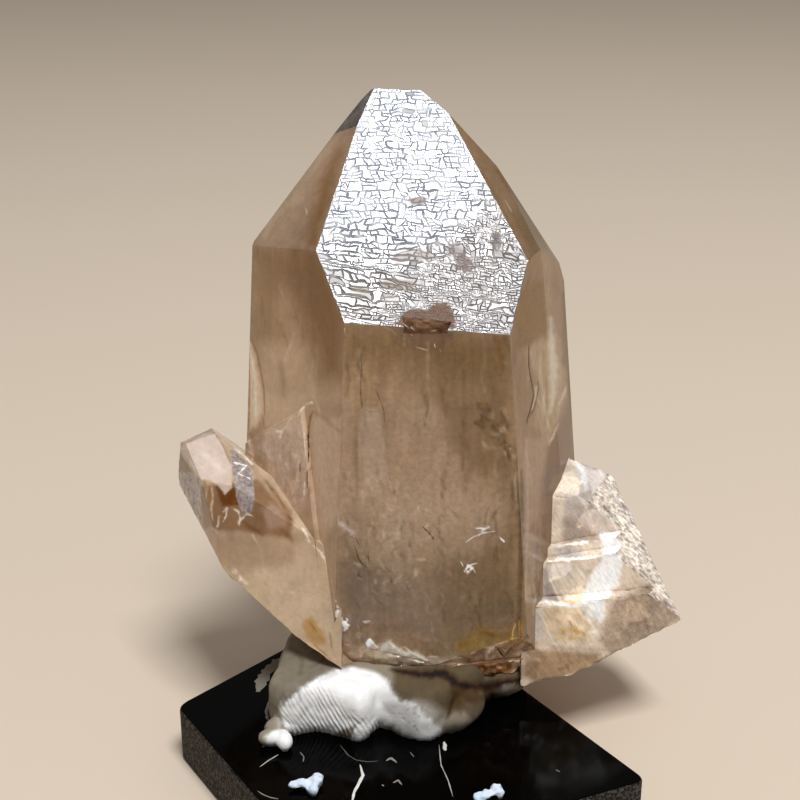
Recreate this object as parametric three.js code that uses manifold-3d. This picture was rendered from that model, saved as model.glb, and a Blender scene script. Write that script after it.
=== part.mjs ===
// A smoky quartz point with two side growths, set in a putty mound on a black slab.
// Millimetres, +Z up. The origin is the middle of the slab's underside and the
// large rhomb face of the point looks towards -Y.
import * as THREE from 'three';
import { ConvexGeometry } from 'three/addons/geometries/ConvexGeometry.js';
import { mergeVertices } from 'three/addons/utils/BufferGeometryUtils.js';
import Module from 'manifold-3d';

const wasm = await Module();
wasm.setup();

// sizes

const SLAB_THICKNESS = 7.0;
const SLAB_CORNER_RADIUS = 1.8;
const SLAB_EDGE_BREAK = 0.35;
const PIECE_GAP = 0.3;
const SEAT_HEIGHT = SLAB_THICKNESS + PIECE_GAP;

// Corners of the sawn slab seen from above, none of them square.
const SLAB_CORNERS = [
  [-27.8, 0.9],
  [-8.2, -29.9],
  [27.8, -14.0],
  [-1.5, 30.0],
];

// A crystal face is [azimuth, rise, reach]. The azimuth turns from the front (-Y)
// towards +X, the rise lifts the face normal above level, both in degrees, and the
// reach is the distance in millimetres from the block's centre to the face.
const POINT_CENTRE = [0, 14.5, 12];
const POINT_FACES = {
  frontPrism: [3.0, 4.0, 14.67],
  rightPrism: [63.4, 5.7, 19.94],
  rightPrismStep: [69.0, 6.1, 20.8],
  rightRearPrism: [126.0, 2.4, 22.15],
  rearPrism: [-177.0, 2.0, 14.45],
  leftRearPrism: [-118.0, 1.7, 19.44],
  leftPrism: [-53.3, 4.5, 15.74],
  frontRhomb: [7.0, 40.0, 36.68],
  rightRhomb: [59.9, 42.2, 44.09],
  rightRhombStep: [83.7, 33.5, 40.81],
  rightRearRhomb: [124.0, 35.1, 43.48],
  rightRearCrown: [124.0, 28.8, 38.83],
  rearRhomb: [-178.0, 41.0, 49.71],
  leftRearCrown: [-130.0, 39.0, 48.02],
  leftRearRhomb: [-130.0, 25.6, 36.21],
  leftCrown: [-62.0, 41.0, 43.27],
  leftRhomb: [-59.8, 37.5, 40.21],
  leftBreak: [-90.0, -55.7, 2.92],
  frontLeftChip: [-4.0, -20.0, 12.75],
  frontRightChip: [13.0, -23.0, 13.25],
  underside: [0, -90, 0.6],
};

// The chipped notch in the lower edge of the front rhomb face.
const NOTCH_CENTRE = [2.6, 3.1, 55.6];
const NOTCH_FACES = {
  left: [-70, 8, 2.3],
  right: [66, -8, 2.4],
  upper: [10, 74, 1.25],
  lower: [0, -62, 1.15],
  rear: [180, 14, 0.62],
  front: [0, 0, 3.0],
};

// A thin later layer of growth on the left prism face.
const SHELF_CENTRE = [-14, 9.5, 34];
const SHELF_FACES = {
  outer: [-53.3, 4.5, 0.46],
  right: [32.0, 16.5, 5.5],
  front: [3.0, 4.0, 8.78],
  top: [-103.7, 49.9, 5.71],
  left: [-118.0, 1.7, 8.42],
  lower: [-90.0, -55.7, 13.4],
  inner: [127.0, 0, 4.78],
  underside: [0, -90, 22.4],
};

// The small crystal on the left, broken off flat at its top.
const LEFT_CENTRE = [-17, 10.5, 24];
const LEFT_FACES = {
  front: [-22.0, 13.5, 5.22],
  left: [-62.0, 7.6, 8.02],
  leftRear: [-140.0, 2.0, 12.58],
  rear: [180.0, 0, 11.0],
  topFront: [-21.2, 58.0, 9.44],
  topLeft: [-59.7, -2.5, 6.31],
  topRight: [30.6, 64.6, 8.27],
  topEdge: [118.7, 48.1, 7.71],
  topRear: [-114.2, 69.9, 14.96],
  lowerLeft: [-95.0, -49.1, 3.72],
  lowerBreak: [-90.0, -55.7, 3.65],
  lowerTip: [-60.0, -51.6, 6.39],
  buried: [90.0, 0, 9.8],
  underside: [0, -90, 12.4],
};

// The stepped mass on the right: four blocks that share their flanks and underside,
// each standing further forward than the one above it.
const RIGHT_CENTRE = [22, 7.5, 22];
const RIGHT_SHARED = {
  flank: [48.0, 41.6, 3.24],
  rearFlank: [112.0, 12.6, 10.0],
  lower: [81.4, -82.4, 11.5],
  lowerRight: [43.2, -50.5, 10.8],
  rear: [178.0, 0, 10.23],
  buried: [-90.0, 0, 7.5],
  shoulder: [110.0, 50.0, 11.81],
};
const RIGHT_STEPS = [
  { front: [12.0, 12.0, 1.8], ledge: [6.6, 82.5, -2.47] },
  { front: [9.0, 13.0, 0.17], ledge: [-17.2, 82.5, 1.69] },
  { front: [12.0, 13.0, -1.15], ledge: [-14.7, 82.5, 2.69] },
  { front: [15.0, 14.0, -2.12], ledge: [39.4, 57.6, 4.73] },
];

// Splinters of the broken base that hang over the putty at the front.
const BASE_SPLINTERS = [
  {
    centre: [1.0, 3.5, 12],
    faces: {
      front: [-3.0, -14.0, 2.9],
      right: [72.0, -16.0, 5.6],
      left: [-66.0, -24.0, 4.6],
      rear: [180.0, 0, 3.0],
      top: [0, 90, 1.0],
      underside: [8.0, -80.0, 1.0],
    },
  },
  {
    centre: [9.6, 4.4, 12],
    faces: {
      front: [12.0, -11.0, 3.1],
      right: [66.0, -22.0, 4.9],
      left: [-78.0, -12.0, 3.6],
      rear: [180.0, 0, 3.0],
      top: [0, 90, 1.0],
      underside: [24.0, -77.0, 1.6],
    },
  },
];

// Foot of the putty mound on the slab, clockwise seen from above.
const MOUND_FOOT = [
  [-15.6, -3.7],
  [-14.9, 1.5],
  [-14.2, 8],
  [-11.8, 14.4],
  [-6, 19],
  [2.5, 20.1],
  [10.5, 17],
  [14.6, 11.3],
  [14.2, 5.9],
  [9.4, 0.5],
  [4.9, -5.4],
  [2.5, -6.8],
  [-0.5, -5.3],
  [-2.7, -3.9],
  [-4.7, -6.7],
  [-6.8, -5.9],
  [-10.3, -4.7],
  [-13.2, -5.7],
];
const MOUND_TOP = 13.2;
const MOUND_EDGE_ROUND = 1.9;

// Rounded lumps pressed out of the mound: [x, y, z], radii, turn about Z in degrees.
const MOUND_LUMPS = [
  { at: [-5.9, -0.9, 9.6], radii: [5.6, 4.0, 4.1], turn: -8 },
  { at: [-11.7, 4.4, 10.3], radii: [3.3, 4.0, 3.3], turn: 12 },
  { at: [-12.8, -1.5, 8.9], radii: [2.6, 3.3, 2.7], turn: -20 },
  { at: [4.6, -0.9, 8.9], radii: [5.4, 4.6, 3.0], turn: 24 },
  { at: [11.2, 6.1, 9.4], radii: [4.2, 5.0, 2.8], turn: 40 },
  { at: [-14.8, -5.5, 8.1], radii: [1.3, 1.1, 1.0], turn: 0 },
  { at: [-13.9, -7.6, 8], radii: [0.8, 1.5, 0.8], turn: 18 },
  { at: [-15.4, -7.2, 8.1], radii: [1.3, 0.8, 0.8], turn: 8 },
];

const LEFT_CRUMB_LUMPS = [
  { at: [-11.0, -15.5, 7.6], radii: [1.8, 0.7, 0.6], turn: 12 },
  { at: [-9.7, -15.0, 7.8], radii: [0.95, 0.8, 0.9], turn: 0 },
  { at: [-10.2, -16.2, 7.6], radii: [0.9, 0.6, 0.5], turn: -24 },
];
const RIGHT_CRUMB_LUMPS = [
  { at: [9.3, -17.5, 7.6], radii: [1.6, 0.65, 0.6], turn: 18 },
  { at: [10.6, -16.9, 7.75], radii: [0.85, 0.7, 0.8], turn: 0 },
];

const LUMP_SEGMENTS = 30;
const LUMP_RINGS = 20;
const CRUMB_SEGMENTS = 18;
const CRUMB_RINGS = 12;
const KEEP_BOX_SIZE = 120;
const MOUND_OUTLINE_POINTS = 72;
const MOUND_EDGE_SEGMENTS = 5;
const SLAB_EDGE_SEGMENTS = 3;
const SLAB_CORNER_SEGMENTS = 8;

// Distances that count as none: between equal corners, and from a corner to its face.
const SAME_CORNER = 1e-4;
const ON_FACE = 1e-5;

// helpers

function toSolid(geometry) {
  const clean = geometry.index ? geometry.toNonIndexed() : geometry.clone();
  clean.deleteAttribute('normal');
  clean.deleteAttribute('uv');
  const merged = mergeVertices(clean, SAME_CORNER);
  const mesh = new wasm.Mesh({
    numProp: 3,
    vertProperties: new Float32Array(merged.attributes.position.array),
    triVerts: new Uint32Array(merged.index.array),
  });
  return new wasm.Manifold(mesh);
}

function toMesh(solid, name, material) {
  const data = solid.getMesh();
  const geometry = new THREE.BufferGeometry();
  const positions = new Float32Array(data.vertProperties);
  geometry.setAttribute('position', new THREE.BufferAttribute(positions, 3));
  geometry.setIndex(new THREE.BufferAttribute(new Uint32Array(data.triVerts), 1));
  geometry.computeVertexNormals();
  const mesh = new THREE.Mesh(geometry, material);
  mesh.name = name;
  return mesh;
}

function faceNormal([azimuth, rise]) {
  const turn = THREE.MathUtils.degToRad(azimuth);
  const lift = THREE.MathUtils.degToRad(rise);
  return new THREE.Vector3(
    Math.sin(turn) * Math.cos(lift),
    -Math.cos(turn) * Math.cos(lift),
    Math.sin(lift),
  );
}

// The corner where three faces meet, or null where two of them are parallel.
function meetingPoint(a, b, c) {
  const cross = new THREE.Vector3().crossVectors(b.normal, c.normal);
  const volume = a.normal.dot(cross);
  if (Math.abs(volume) < ON_FACE) {
    return null;
  }
  const point = cross.multiplyScalar(a.reach);
  point.addScaledVector(new THREE.Vector3().crossVectors(c.normal, a.normal), b.reach);
  point.addScaledVector(new THREE.Vector3().crossVectors(a.normal, b.normal), c.reach);
  return point.divideScalar(volume);
}

// A crystal block: the space inside all its faces, grown outwards by `swell`.
function crystalBlock(centre, faceList, swell) {
  const faces = Object.values(faceList).map((face) => ({
    normal: faceNormal(face),
    reach: face[2] + swell,
  }));
  const corners = [];
  for (let i = 0; i < faces.length; i += 1) {
    for (let j = i + 1; j < faces.length; j += 1) {
      for (let k = j + 1; k < faces.length; k += 1) {
        const corner = meetingPoint(faces[i], faces[j], faces[k]);
        const inside = corner && faces.every((f) => f.normal.dot(corner) < f.reach + ON_FACE);
        if (inside) {
          corners.push(corner);
        }
      }
    }
  }
  const geometry = new ConvexGeometry(corners);
  geometry.translate(...centre);
  return toSolid(geometry);
}

function quartzSolid(swell) {
  const notch = crystalBlock(NOTCH_CENTRE, NOTCH_FACES, -swell);
  let solid = crystalBlock(POINT_CENTRE, POINT_FACES, swell).subtract(notch);
  solid = solid.add(crystalBlock(SHELF_CENTRE, SHELF_FACES, swell));
  solid = solid.add(crystalBlock(LEFT_CENTRE, LEFT_FACES, swell));
  for (const step of RIGHT_STEPS) {
    solid = solid.add(crystalBlock(RIGHT_CENTRE, { ...RIGHT_SHARED, ...step }, swell));
  }
  for (const { centre, faces } of BASE_SPLINTERS) {
    solid = solid.add(crystalBlock(centre, faces, swell));
  }
  return solid;
}

function lump({ at, radii, turn }, segments, rings) {
  const geometry = new THREE.SphereGeometry(1, segments, rings);
  geometry.scale(...radii);
  geometry.rotateZ(THREE.MathUtils.degToRad(turn));
  geometry.translate(...at);
  return toSolid(geometry);
}

// A closed outline whose corners are rounded with one radius.
function roundedOutline(corners, radius) {
  const shape = new THREE.Shape();
  corners.forEach((corner, i) => {
    const here = new THREE.Vector2(...corner);
    const before = new THREE.Vector2(...corners[(i + corners.length - 1) % corners.length]);
    const after = new THREE.Vector2(...corners[(i + 1) % corners.length]);
    const start = here.clone().add(before.sub(here).setLength(radius));
    const end = here.clone().add(after.sub(here).setLength(radius));
    if (i === 0) {
      shape.moveTo(start.x, start.y);
    } else {
      shape.lineTo(start.x, start.y);
    }
    shape.quadraticCurveTo(here.x, here.y, end.x, end.y);
  });
  shape.closePath();
  return shape;
}

// slab

function slabSolid() {
  const shape = roundedOutline(SLAB_CORNERS, SLAB_CORNER_RADIUS);
  const geometry = new THREE.ExtrudeGeometry(shape, {
    depth: SLAB_THICKNESS - 2 * SLAB_EDGE_BREAK,
    bevelEnabled: true,
    bevelThickness: SLAB_EDGE_BREAK,
    bevelSize: SLAB_EDGE_BREAK,
    bevelOffset: -SLAB_EDGE_BREAK,
    bevelSegments: SLAB_EDGE_SEGMENTS,
    curveSegments: SLAB_CORNER_SEGMENTS,
  });
  geometry.translate(0, 0, SLAB_EDGE_BREAK);
  return toSolid(geometry);
}

// putty

// Everything above the height at which a piece sits on the slab.
function aboveSlab() {
  const box = new THREE.BoxGeometry(KEEP_BOX_SIZE, KEEP_BOX_SIZE, KEEP_BOX_SIZE);
  box.translate(0, 0, SEAT_HEIGHT + KEEP_BOX_SIZE / 2);
  return toSolid(box);
}

function moundSolid() {
  const foot = new THREE.CatmullRomCurve3(
    MOUND_FOOT.map(([x, y]) => new THREE.Vector3(x, y, 0)),
    true,
  );
  const outline = foot.getSpacedPoints(MOUND_OUTLINE_POINTS).slice(0, -1).reverse();
  const shape = new THREE.Shape(outline.map((p) => new THREE.Vector2(p.x, p.y)));
  const base = new THREE.ExtrudeGeometry(shape, {
    depth: MOUND_TOP - SLAB_THICKNESS - 2 * MOUND_EDGE_ROUND,
    bevelEnabled: true,
    bevelThickness: MOUND_EDGE_ROUND,
    bevelSize: MOUND_EDGE_ROUND / 2,
    bevelOffset: -MOUND_EDGE_ROUND / 2,
    bevelSegments: MOUND_EDGE_SEGMENTS,
  });
  base.translate(0, 0, SLAB_THICKNESS + MOUND_EDGE_ROUND);
  let solid = toSolid(base);
  for (const bulge of MOUND_LUMPS) {
    solid = solid.add(lump(bulge, LUMP_SEGMENTS, LUMP_RINGS));
  }
  return solid.intersect(aboveSlab()).subtract(quartzSolid(PIECE_GAP));
}

function crumbSolid(lumps) {
  let solid = lump(lumps[0], CRUMB_SEGMENTS, CRUMB_RINGS);
  for (const bulge of lumps.slice(1)) {
    solid = solid.add(lump(bulge, CRUMB_SEGMENTS, CRUMB_RINGS));
  }
  return solid.intersect(aboveSlab());
}

// assembly

const quartzMaterial = new THREE.MeshStandardMaterial({
  color: 0x9c7f63,
  roughness: 0.12,
  metalness: 0,
  flatShading: true,
});
const puttyMaterial = new THREE.MeshStandardMaterial({
  color: 0xc9c3b8,
  roughness: 0.75,
  metalness: 0,
});
const crumbMaterial = new THREE.MeshStandardMaterial({
  color: 0xc3d2dc,
  roughness: 0.7,
  metalness: 0,
});
const slabMaterial = new THREE.MeshStandardMaterial({
  color: 0x0b0b0c,
  roughness: 0.15,
  metalness: 0,
});

const group = new THREE.Group();
group.name = 'smoky_quartz_specimen';
group.add(toMesh(slabSolid(), 'slab', slabMaterial));
group.add(toMesh(quartzSolid(0), 'quartz', quartzMaterial));
group.add(toMesh(moundSolid(), 'putty_mound', puttyMaterial));
group.add(toMesh(crumbSolid(LEFT_CRUMB_LUMPS), 'putty_crumb_left', crumbMaterial));
group.add(toMesh(crumbSolid(RIGHT_CRUMB_LUMPS), 'putty_crumb_right', crumbMaterial));

export default group;
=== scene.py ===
"""Looks of a smoky quartz point with two side growths, held by putty on a black slab.

Lengths in the classes are millimetres in the frame of the CAD part: +Z up, the front
of the specimen towards -Y, the origin in the middle of the slab's underside.
"""

import logging
import math
import random
from dataclasses import dataclass, field
from enum import Enum

import bmesh
import bpy
from mathutils import Matrix, Vector, geometry, noise


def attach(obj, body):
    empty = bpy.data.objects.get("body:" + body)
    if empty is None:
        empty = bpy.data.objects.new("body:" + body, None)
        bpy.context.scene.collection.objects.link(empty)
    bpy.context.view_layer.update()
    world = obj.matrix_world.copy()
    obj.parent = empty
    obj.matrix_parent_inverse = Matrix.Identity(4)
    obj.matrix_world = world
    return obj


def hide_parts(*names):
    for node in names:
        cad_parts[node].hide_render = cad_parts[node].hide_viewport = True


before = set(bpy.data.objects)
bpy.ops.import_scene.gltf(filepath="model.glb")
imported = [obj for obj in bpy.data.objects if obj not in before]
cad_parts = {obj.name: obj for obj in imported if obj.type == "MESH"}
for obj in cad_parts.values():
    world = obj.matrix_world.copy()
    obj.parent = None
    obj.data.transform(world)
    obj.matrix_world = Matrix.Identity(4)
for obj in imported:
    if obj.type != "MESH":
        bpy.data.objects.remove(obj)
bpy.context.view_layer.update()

MM = 0.001
PHOTO_PIXELS = 800
LOG = logging.getLogger("specimen")

Colour = tuple[float, float, float]
Pair = tuple[float, float]


def linear(hex_colour: str) -> Colour:
    """Turns an sRGB hex colour into linear values.

    Args:
        hex_colour: six hex digits, such as "b09a82".

    Returns:
        The linear red, green and blue.
    """
    values = (int(hex_colour[i : i + 2], 16) / 255 for i in (0, 2, 4))
    return tuple(v / 12.92 if v <= 0.04045 else ((v + 0.055) / 1.055) ** 2.4 for v in values)


def add_node(
    tree: bpy.types.NodeTree, kind: str, inputs: dict[str | int, object] | None = None,
    **settings: object,
) -> bpy.types.Node:
    """Adds a node, sets its options and fills or links its inputs.

    Args:
        tree: the node tree that gets the node.
        kind: the node's Blender type name.
        inputs: values or output sockets, by the name or number of the input.
        settings: the node's own options.

    Returns:
        The new node.
    """
    node = tree.nodes.new(kind)
    for name, value in settings.items():
        setattr(node, name, value)
    for name, value in (inputs or {}).items():
        if isinstance(value, bpy.types.NodeSocket):
            tree.links.new(value, node.inputs[name])
        elif isinstance(value, tuple) and len(value) == 3 and node.inputs[name].type == "RGBA":
            node.inputs[name].default_value = (*value, 1.0)
        else:
            node.inputs[name].default_value = value
    return node


def new_material(name: str) -> tuple[bpy.types.Material, bpy.types.NodeTree]:
    """Makes an empty node material.

    Args:
        name: the material's name.

    Returns:
        The material and its node tree, which holds only an output node.
    """
    material = bpy.data.materials.new(name)
    material.use_nodes = True
    material.node_tree.nodes.clear()
    add_node(material.node_tree, "ShaderNodeOutputMaterial")
    return material, material.node_tree


def finish_surface(
    tree: bpy.types.NodeTree, shader: bpy.types.NodeSocket, socket: str = "Surface"
) -> None:
    """Links a shader output to the material's output node."""
    tree.links.new(shader, tree.nodes["Material Output"].inputs[socket])


def smoothstep(low: float, high: float, value: float) -> float:
    """Rises smoothly from 0 at low to 1 at high; low may be the larger one."""
    t = min(1.0, max(0.0, (value - low) / (high - low)))
    return t * t * (3 - 2 * t)


def blend(a: float, b: float, share: float) -> float:
    """Mixes two numbers."""
    return a + (b - a) * share


def blend_colour(a: Colour, b: Colour, share: float) -> Colour:
    """Mixes two colours."""
    return tuple(blend(x, y, share) for x, y in zip(a, b))


def face_direction(azimuth: float, rise: float) -> Vector:
    """Gives the outward direction of a crystal face.

    Args:
        azimuth: degrees from the front (-Y) towards +X.
        rise: degrees that the direction is lifted above level.

    Returns:
        The unit vector.
    """
    turn, lift = math.radians(azimuth), math.radians(rise)
    return Vector((
        math.sin(turn) * math.cos(lift),
        -math.cos(turn) * math.cos(lift),
        math.sin(lift),
    ))


def grain(point: Vector, size: float, seed: float = 0.0, octaves: int = 2) -> float:
    """Gives fractal noise from about -1 to 1.

    Args:
        point: place in millimetres.
        size: width of the largest features in millimetres.
        seed: shifts the pattern.
        octaves: number of layers of finer features.

    Returns:
        The value of the noise.
    """
    shifted = point / size + Vector((seed * 17.3, seed * 5.1, seed * 9.7))
    total, weight = noise.noise(shifted), 1.0
    for octave in range(1, octaves):
        weight *= 0.5
        total += weight * noise.noise(shifted * 2.03**octave + Vector((octave * 3.1,) * 3))
    return total


def merged_copy(node: bpy.types.Object) -> bmesh.types.BMesh:
    """Copies a CAD node's mesh with its loose triangles merged into one closed skin.

    Args:
        node: the CAD node, which stays as it is.

    Returns:
        The merged copy.
    """
    bm = bmesh.new()
    bm.from_mesh(node.data)
    bmesh.ops.remove_doubles(bm, verts=bm.verts, dist=1e-6)
    return bm


def new_object(name: str, bm: bmesh.types.BMesh, material: bpy.types.Material) -> bpy.types.Object:
    """Turns a bmesh into an object at the origin.

    Args:
        name: the piece's name.
        bm: the mesh, which is freed.
        material: the finish of the whole piece.

    Returns:
        The new object, linked to the scene.
    """
    mesh = bpy.data.meshes.new(name)
    bm.to_mesh(mesh)
    bm.free()
    mesh.materials.append(material)
    piece = bpy.data.objects.new(name, mesh)
    bpy.context.scene.collection.objects.link(piece)
    return piece


def register(piece: bpy.types.Object, node: str | None = None) -> None:
    """Lets a piece ride on the specimen and logs it.

    Args:
        piece: the finished piece.
        node: the CAD node that the piece stands for, if any.
    """
    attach(piece, "root")
    if node:
        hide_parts(node)
    LOG.info("%s: %d faces", piece.name, len(piece.data.polygons))


# Finishes


@dataclass(frozen=True)
class SmokyQuartz:
    """Clear quartz, browned by natural radiation, with a skin that is frosted in places.

    The body is see-through and takes its brown from absorption, so thick parts look
    darker. The skin's milky share, colour and roughness come from the mesh.
    """

    ior: float = 1.544
    absorption_colour: str = "c8ac78"
    absorption_per_metre: float = 50.0

    def build(self) -> bpy.types.Material:
        """Returns the material of the whole quartz piece."""
        material, tree = new_material("smoky_quartz_natural")
        place = add_node(tree, "ShaderNodeTexCoord").outputs["Object"]
        paint = add_node(tree, "ShaderNodeAttribute", attribute_name="paint")
        frost = add_node(tree, "ShaderNodeAttribute", attribute_name="frost")
        rough = add_node(tree, "ShaderNodeAttribute", attribute_name="rough")
        fleck = add_node(tree, "ShaderNodeAttribute", attribute_name="mottle")
        # Fine etch marks, 0.25 mm across.
        etch = add_node(tree, "ShaderNodeTexNoise", {
            "Vector": place, "Scale": 4000.0, "Detail": 2.0, "Roughness": 0.6,
        })
        # Drifting haze, 3 mm across, as in cloudy growth zones.
        haze = add_node(tree, "ShaderNodeTexNoise", {
            "Vector": place, "Scale": 330.0, "Detail": 4.0, "Roughness": 0.65,
        })
        shade = add_node(tree, "ShaderNodeMapRange", {
            "Value": haze.outputs["Fac"], "From Min": 0.3, "From Max": 0.7,
            "To Min": 0.88, "To Max": 1.12,
        })
        veiled = add_node(tree, "ShaderNodeMath", {
            0: frost.outputs["Fac"], 1: shade.outputs["Result"],
        }, operation="MULTIPLY")
        clear = add_node(tree, "ShaderNodeMath", {
            0: 1.0, 1: veiled.outputs[0],
        }, operation="SUBTRACT", use_clamp=True)
        bump = add_node(tree, "ShaderNodeBump", {
            "Height": etch.outputs["Fac"], "Strength": 0.12, "Distance": 0.00004,
        })
        # Light and dark flecks of broken or etched skin, 0.2 to 1 mm across.
        speck = add_node(tree, "ShaderNodeTexNoise", {
            "Vector": place, "Scale": 1500.0, "Detail": 5.0, "Roughness": 0.75,
        })
        contrast = add_node(tree, "ShaderNodeMapRange", {
            "Value": speck.outputs["Fac"], "From Min": 0.36, "From Max": 0.64,
            "To Min": -0.45, "To Max": 0.55,
        })
        swing = add_node(tree, "ShaderNodeMath", {
            0: contrast.outputs["Result"], 1: fleck.outputs["Fac"], 2: 1.0,
        }, operation="MULTIPLY_ADD")
        # Growth streaks that slant down to the right, 0.25 mm wide and 4 mm long.
        brush = add_node(tree, "ShaderNodeAttribute", attribute_name="brush")
        slant = add_node(tree, "ShaderNodeMapping", {
            "Vector": place, "Rotation": (math.radians(-21), math.radians(33), 0.0),
        })
        drawn = add_node(tree, "ShaderNodeVectorMath", {
            0: slant.outputs["Vector"], 1: (1.0, 0.6, 0.045),
        }, operation="MULTIPLY")
        hair = add_node(tree, "ShaderNodeTexNoise", {
            "Vector": drawn.outputs["Vector"], "Scale": 3600.0, "Detail": 3.0,
            "Roughness": 0.65,
        })
        fine = add_node(tree, "ShaderNodeMapRange", {
            "Value": hair.outputs["Fac"], "From Min": 0.34, "From Max": 0.66,
            "To Min": -0.6, "To Max": 0.7,
        })
        brushed = add_node(tree, "ShaderNodeMath", {
            0: fine.outputs["Result"], 1: brush.outputs["Fac"], 2: swing.outputs[0],
        }, operation="MULTIPLY_ADD")
        flecked = add_node(tree, "ShaderNodeVectorMath", {
            0: paint.outputs["Color"], "Scale": brushed.outputs[0],
        }, operation="SCALE")
        shader = add_node(tree, "ShaderNodeBsdfPrincipled", {
            "Base Color": flecked.outputs["Vector"],
            "Roughness": rough.outputs["Fac"],
            "Transmission Weight": clear.outputs[0],
            "IOR": self.ior,
            "Normal": bump.outputs["Normal"],
        })
        depth = add_node(tree, "ShaderNodeVolumeAbsorption", {
            "Color": linear(self.absorption_colour),
            "Density": self.absorption_per_metre,
        })
        finish_surface(tree, shader.outputs["BSDF"])
        finish_surface(tree, depth.outputs["Volume"], "Volume")
        return material


@dataclass(frozen=True)
class SoftPutty:
    """White display putty pressed out by fingers: matt, with pores and smudges."""

    name: str = "putty_hand_pressed"
    tint: str = "ffffff"

    def build(self) -> bpy.types.Material:
        """Returns the material of a putty piece, whose mesh carries its tone."""
        material, tree = new_material(self.name)
        place = add_node(tree, "ShaderNodeTexCoord").outputs["Object"]
        paint = add_node(tree, "ShaderNodeAttribute", attribute_name="paint")
        # Smudges, 1 mm across.
        cloud = add_node(tree, "ShaderNodeTexNoise", {
            "Vector": place, "Scale": 1000.0, "Detail": 4.0, "Roughness": 0.6,
        })
        dirt = add_node(tree, "ShaderNodeMapRange", {
            "Value": cloud.outputs["Fac"], "From Min": 0.3, "From Max": 0.7,
            "To Min": 0.92, "To Max": 1.06,
        })
        tone = add_node(tree, "ShaderNodeVectorMath", {
            0: paint.outputs["Color"], "Scale": dirt.outputs["Result"],
        }, operation="SCALE")
        tinted = add_node(tree, "ShaderNodeVectorMath", {
            0: tone.outputs["Vector"], 1: linear(self.tint),
        }, operation="MULTIPLY")
        # Pores, 0.3 mm across.
        pores = add_node(tree, "ShaderNodeTexNoise", {
            "Vector": place, "Scale": 3600.0, "Detail": 3.0,
        })
        bump = add_node(tree, "ShaderNodeBump", {
            "Height": pores.outputs["Fac"], "Strength": 0.5, "Distance": 0.00008,
        })
        shader = add_node(tree, "ShaderNodeBsdfPrincipled", {
            "Base Color": tinted.outputs["Vector"], "Roughness": 0.85,
            "Specular IOR Level": 0.3, "Normal": bump.outputs["Normal"],
        })
        finish_surface(tree, shader.outputs["BSDF"])
        return material


@dataclass(frozen=True)
class BlackStone:
    """Black slab: a polished top over sawn sides that look dull and speckled."""

    polished: str = "020202"
    sawn: str = "1c1d20"

    def build(self) -> bpy.types.Material:
        """Returns the material of the slab."""
        material, tree = new_material("black_stone_polished")
        place = add_node(tree, "ShaderNodeTexCoord").outputs["Object"]
        facing = add_node(tree, "ShaderNodeSeparateXYZ", {
            0: add_node(tree, "ShaderNodeNewGeometry").outputs["Normal"],
        })
        top = add_node(tree, "ShaderNodeMapRange", {
            "Value": facing.outputs["Z"], "From Min": 0.6, "From Max": 0.9,
        })
        speck = add_node(tree, "ShaderNodeTexNoise", {
            "Vector": place, "Scale": 2600.0, "Detail": 3.0, "Roughness": 0.7,
        })
        speckle = add_node(tree, "ShaderNodeMapRange", {
            "Value": speck.outputs["Fac"], "From Min": 0.45, "From Max": 0.72,
        })
        side = add_node(tree, "ShaderNodeMix", {
            0: speckle.outputs["Result"], 6: linear("1c1b19"), 7: linear("70695f"),
        }, data_type="RGBA")
        tone = add_node(tree, "ShaderNodeMix", {
            0: top.outputs["Result"], 6: side.outputs[2], 7: linear(self.polished),
        }, data_type="RGBA")
        gloss = add_node(tree, "ShaderNodeMapRange", {
            "Value": facing.outputs["Z"], "From Min": 0.6, "From Max": 0.9,
            "To Min": 0.55, "To Max": 0.1,
        })
        shader = add_node(tree, "ShaderNodeBsdfPrincipled", {
            "Base Color": tone.outputs[2], "Roughness": gloss.outputs["Result"],
            "Specular IOR Level": 0.04,
        })
        finish_surface(tree, shader.outputs["BSDF"])
        return material


@dataclass(frozen=True)
class PaleFloor:
    """Plain pale matt studio floor."""

    colour: str = "dccdbb"

    def build(self) -> bpy.types.Material:
        """Returns the material of the floor."""
        material, tree = new_material("floor_matt")
        place = add_node(tree, "ShaderNodeTexCoord").outputs["Object"]
        cloud = add_node(tree, "ShaderNodeTexNoise", {"Vector": place, "Scale": 6.0})
        tone = add_node(tree, "ShaderNodeMix", {
            0: cloud.outputs["Fac"], 6: linear(self.colour), 7: linear("d8c9b6"),
        }, data_type="RGBA")
        shader = add_node(tree, "ShaderNodeBsdfPrincipled", {
            "Base Color": tone.outputs[2], "Roughness": 0.95,
        })
        finish_surface(tree, shader.outputs["BSDF"])
        return material


# Quartz


@dataclass(frozen=True)
class Skin:
    """How one spot of the quartz surface looks.

    Attributes:
        colour: linear colour of the frosted share.
        frost: share of light that the skin scatters, the rest passes through.
        rough: roughness of the clear share.
        mottle: how strongly fine light and dark flecks show, from 0 to 1.
        lift: how far the spot stands out of its flat face, in millimetres.
        brush: how strongly slanting hair-fine streaks show, from 0 to 1.
    """

    colour: Colour
    frost: float
    rough: float
    mottle: float = 0.0
    lift: float = 0.0
    brush: float = 0.0


# The front view's plane: millimetres across and up from the point that the camera aims at.
VIEW_EYE = Vector((-0.25, -146.18, 103.71))
VIEW_AIM = Vector((-0.25, 17.2, 41.0))
VIEW_AHEAD = (VIEW_AIM - VIEW_EYE).normalized()
VIEW_ACROSS = Vector((1, 0, 0))
VIEW_UP = VIEW_ACROSS.cross(VIEW_AHEAD)
VIEW_DISTANCE = (VIEW_AIM - VIEW_EYE).length


def front_place(spot: Vector) -> Pair:
    """Says where the front view shows a spot.

    Args:
        spot: the place in millimetres.

    Returns:
        Millimetres across and up.
    """
    away = spot - VIEW_EYE
    scale = VIEW_DISTANCE / away.dot(VIEW_AHEAD)
    return away.dot(VIEW_ACROSS) * scale, away.dot(VIEW_UP) * scale


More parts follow.
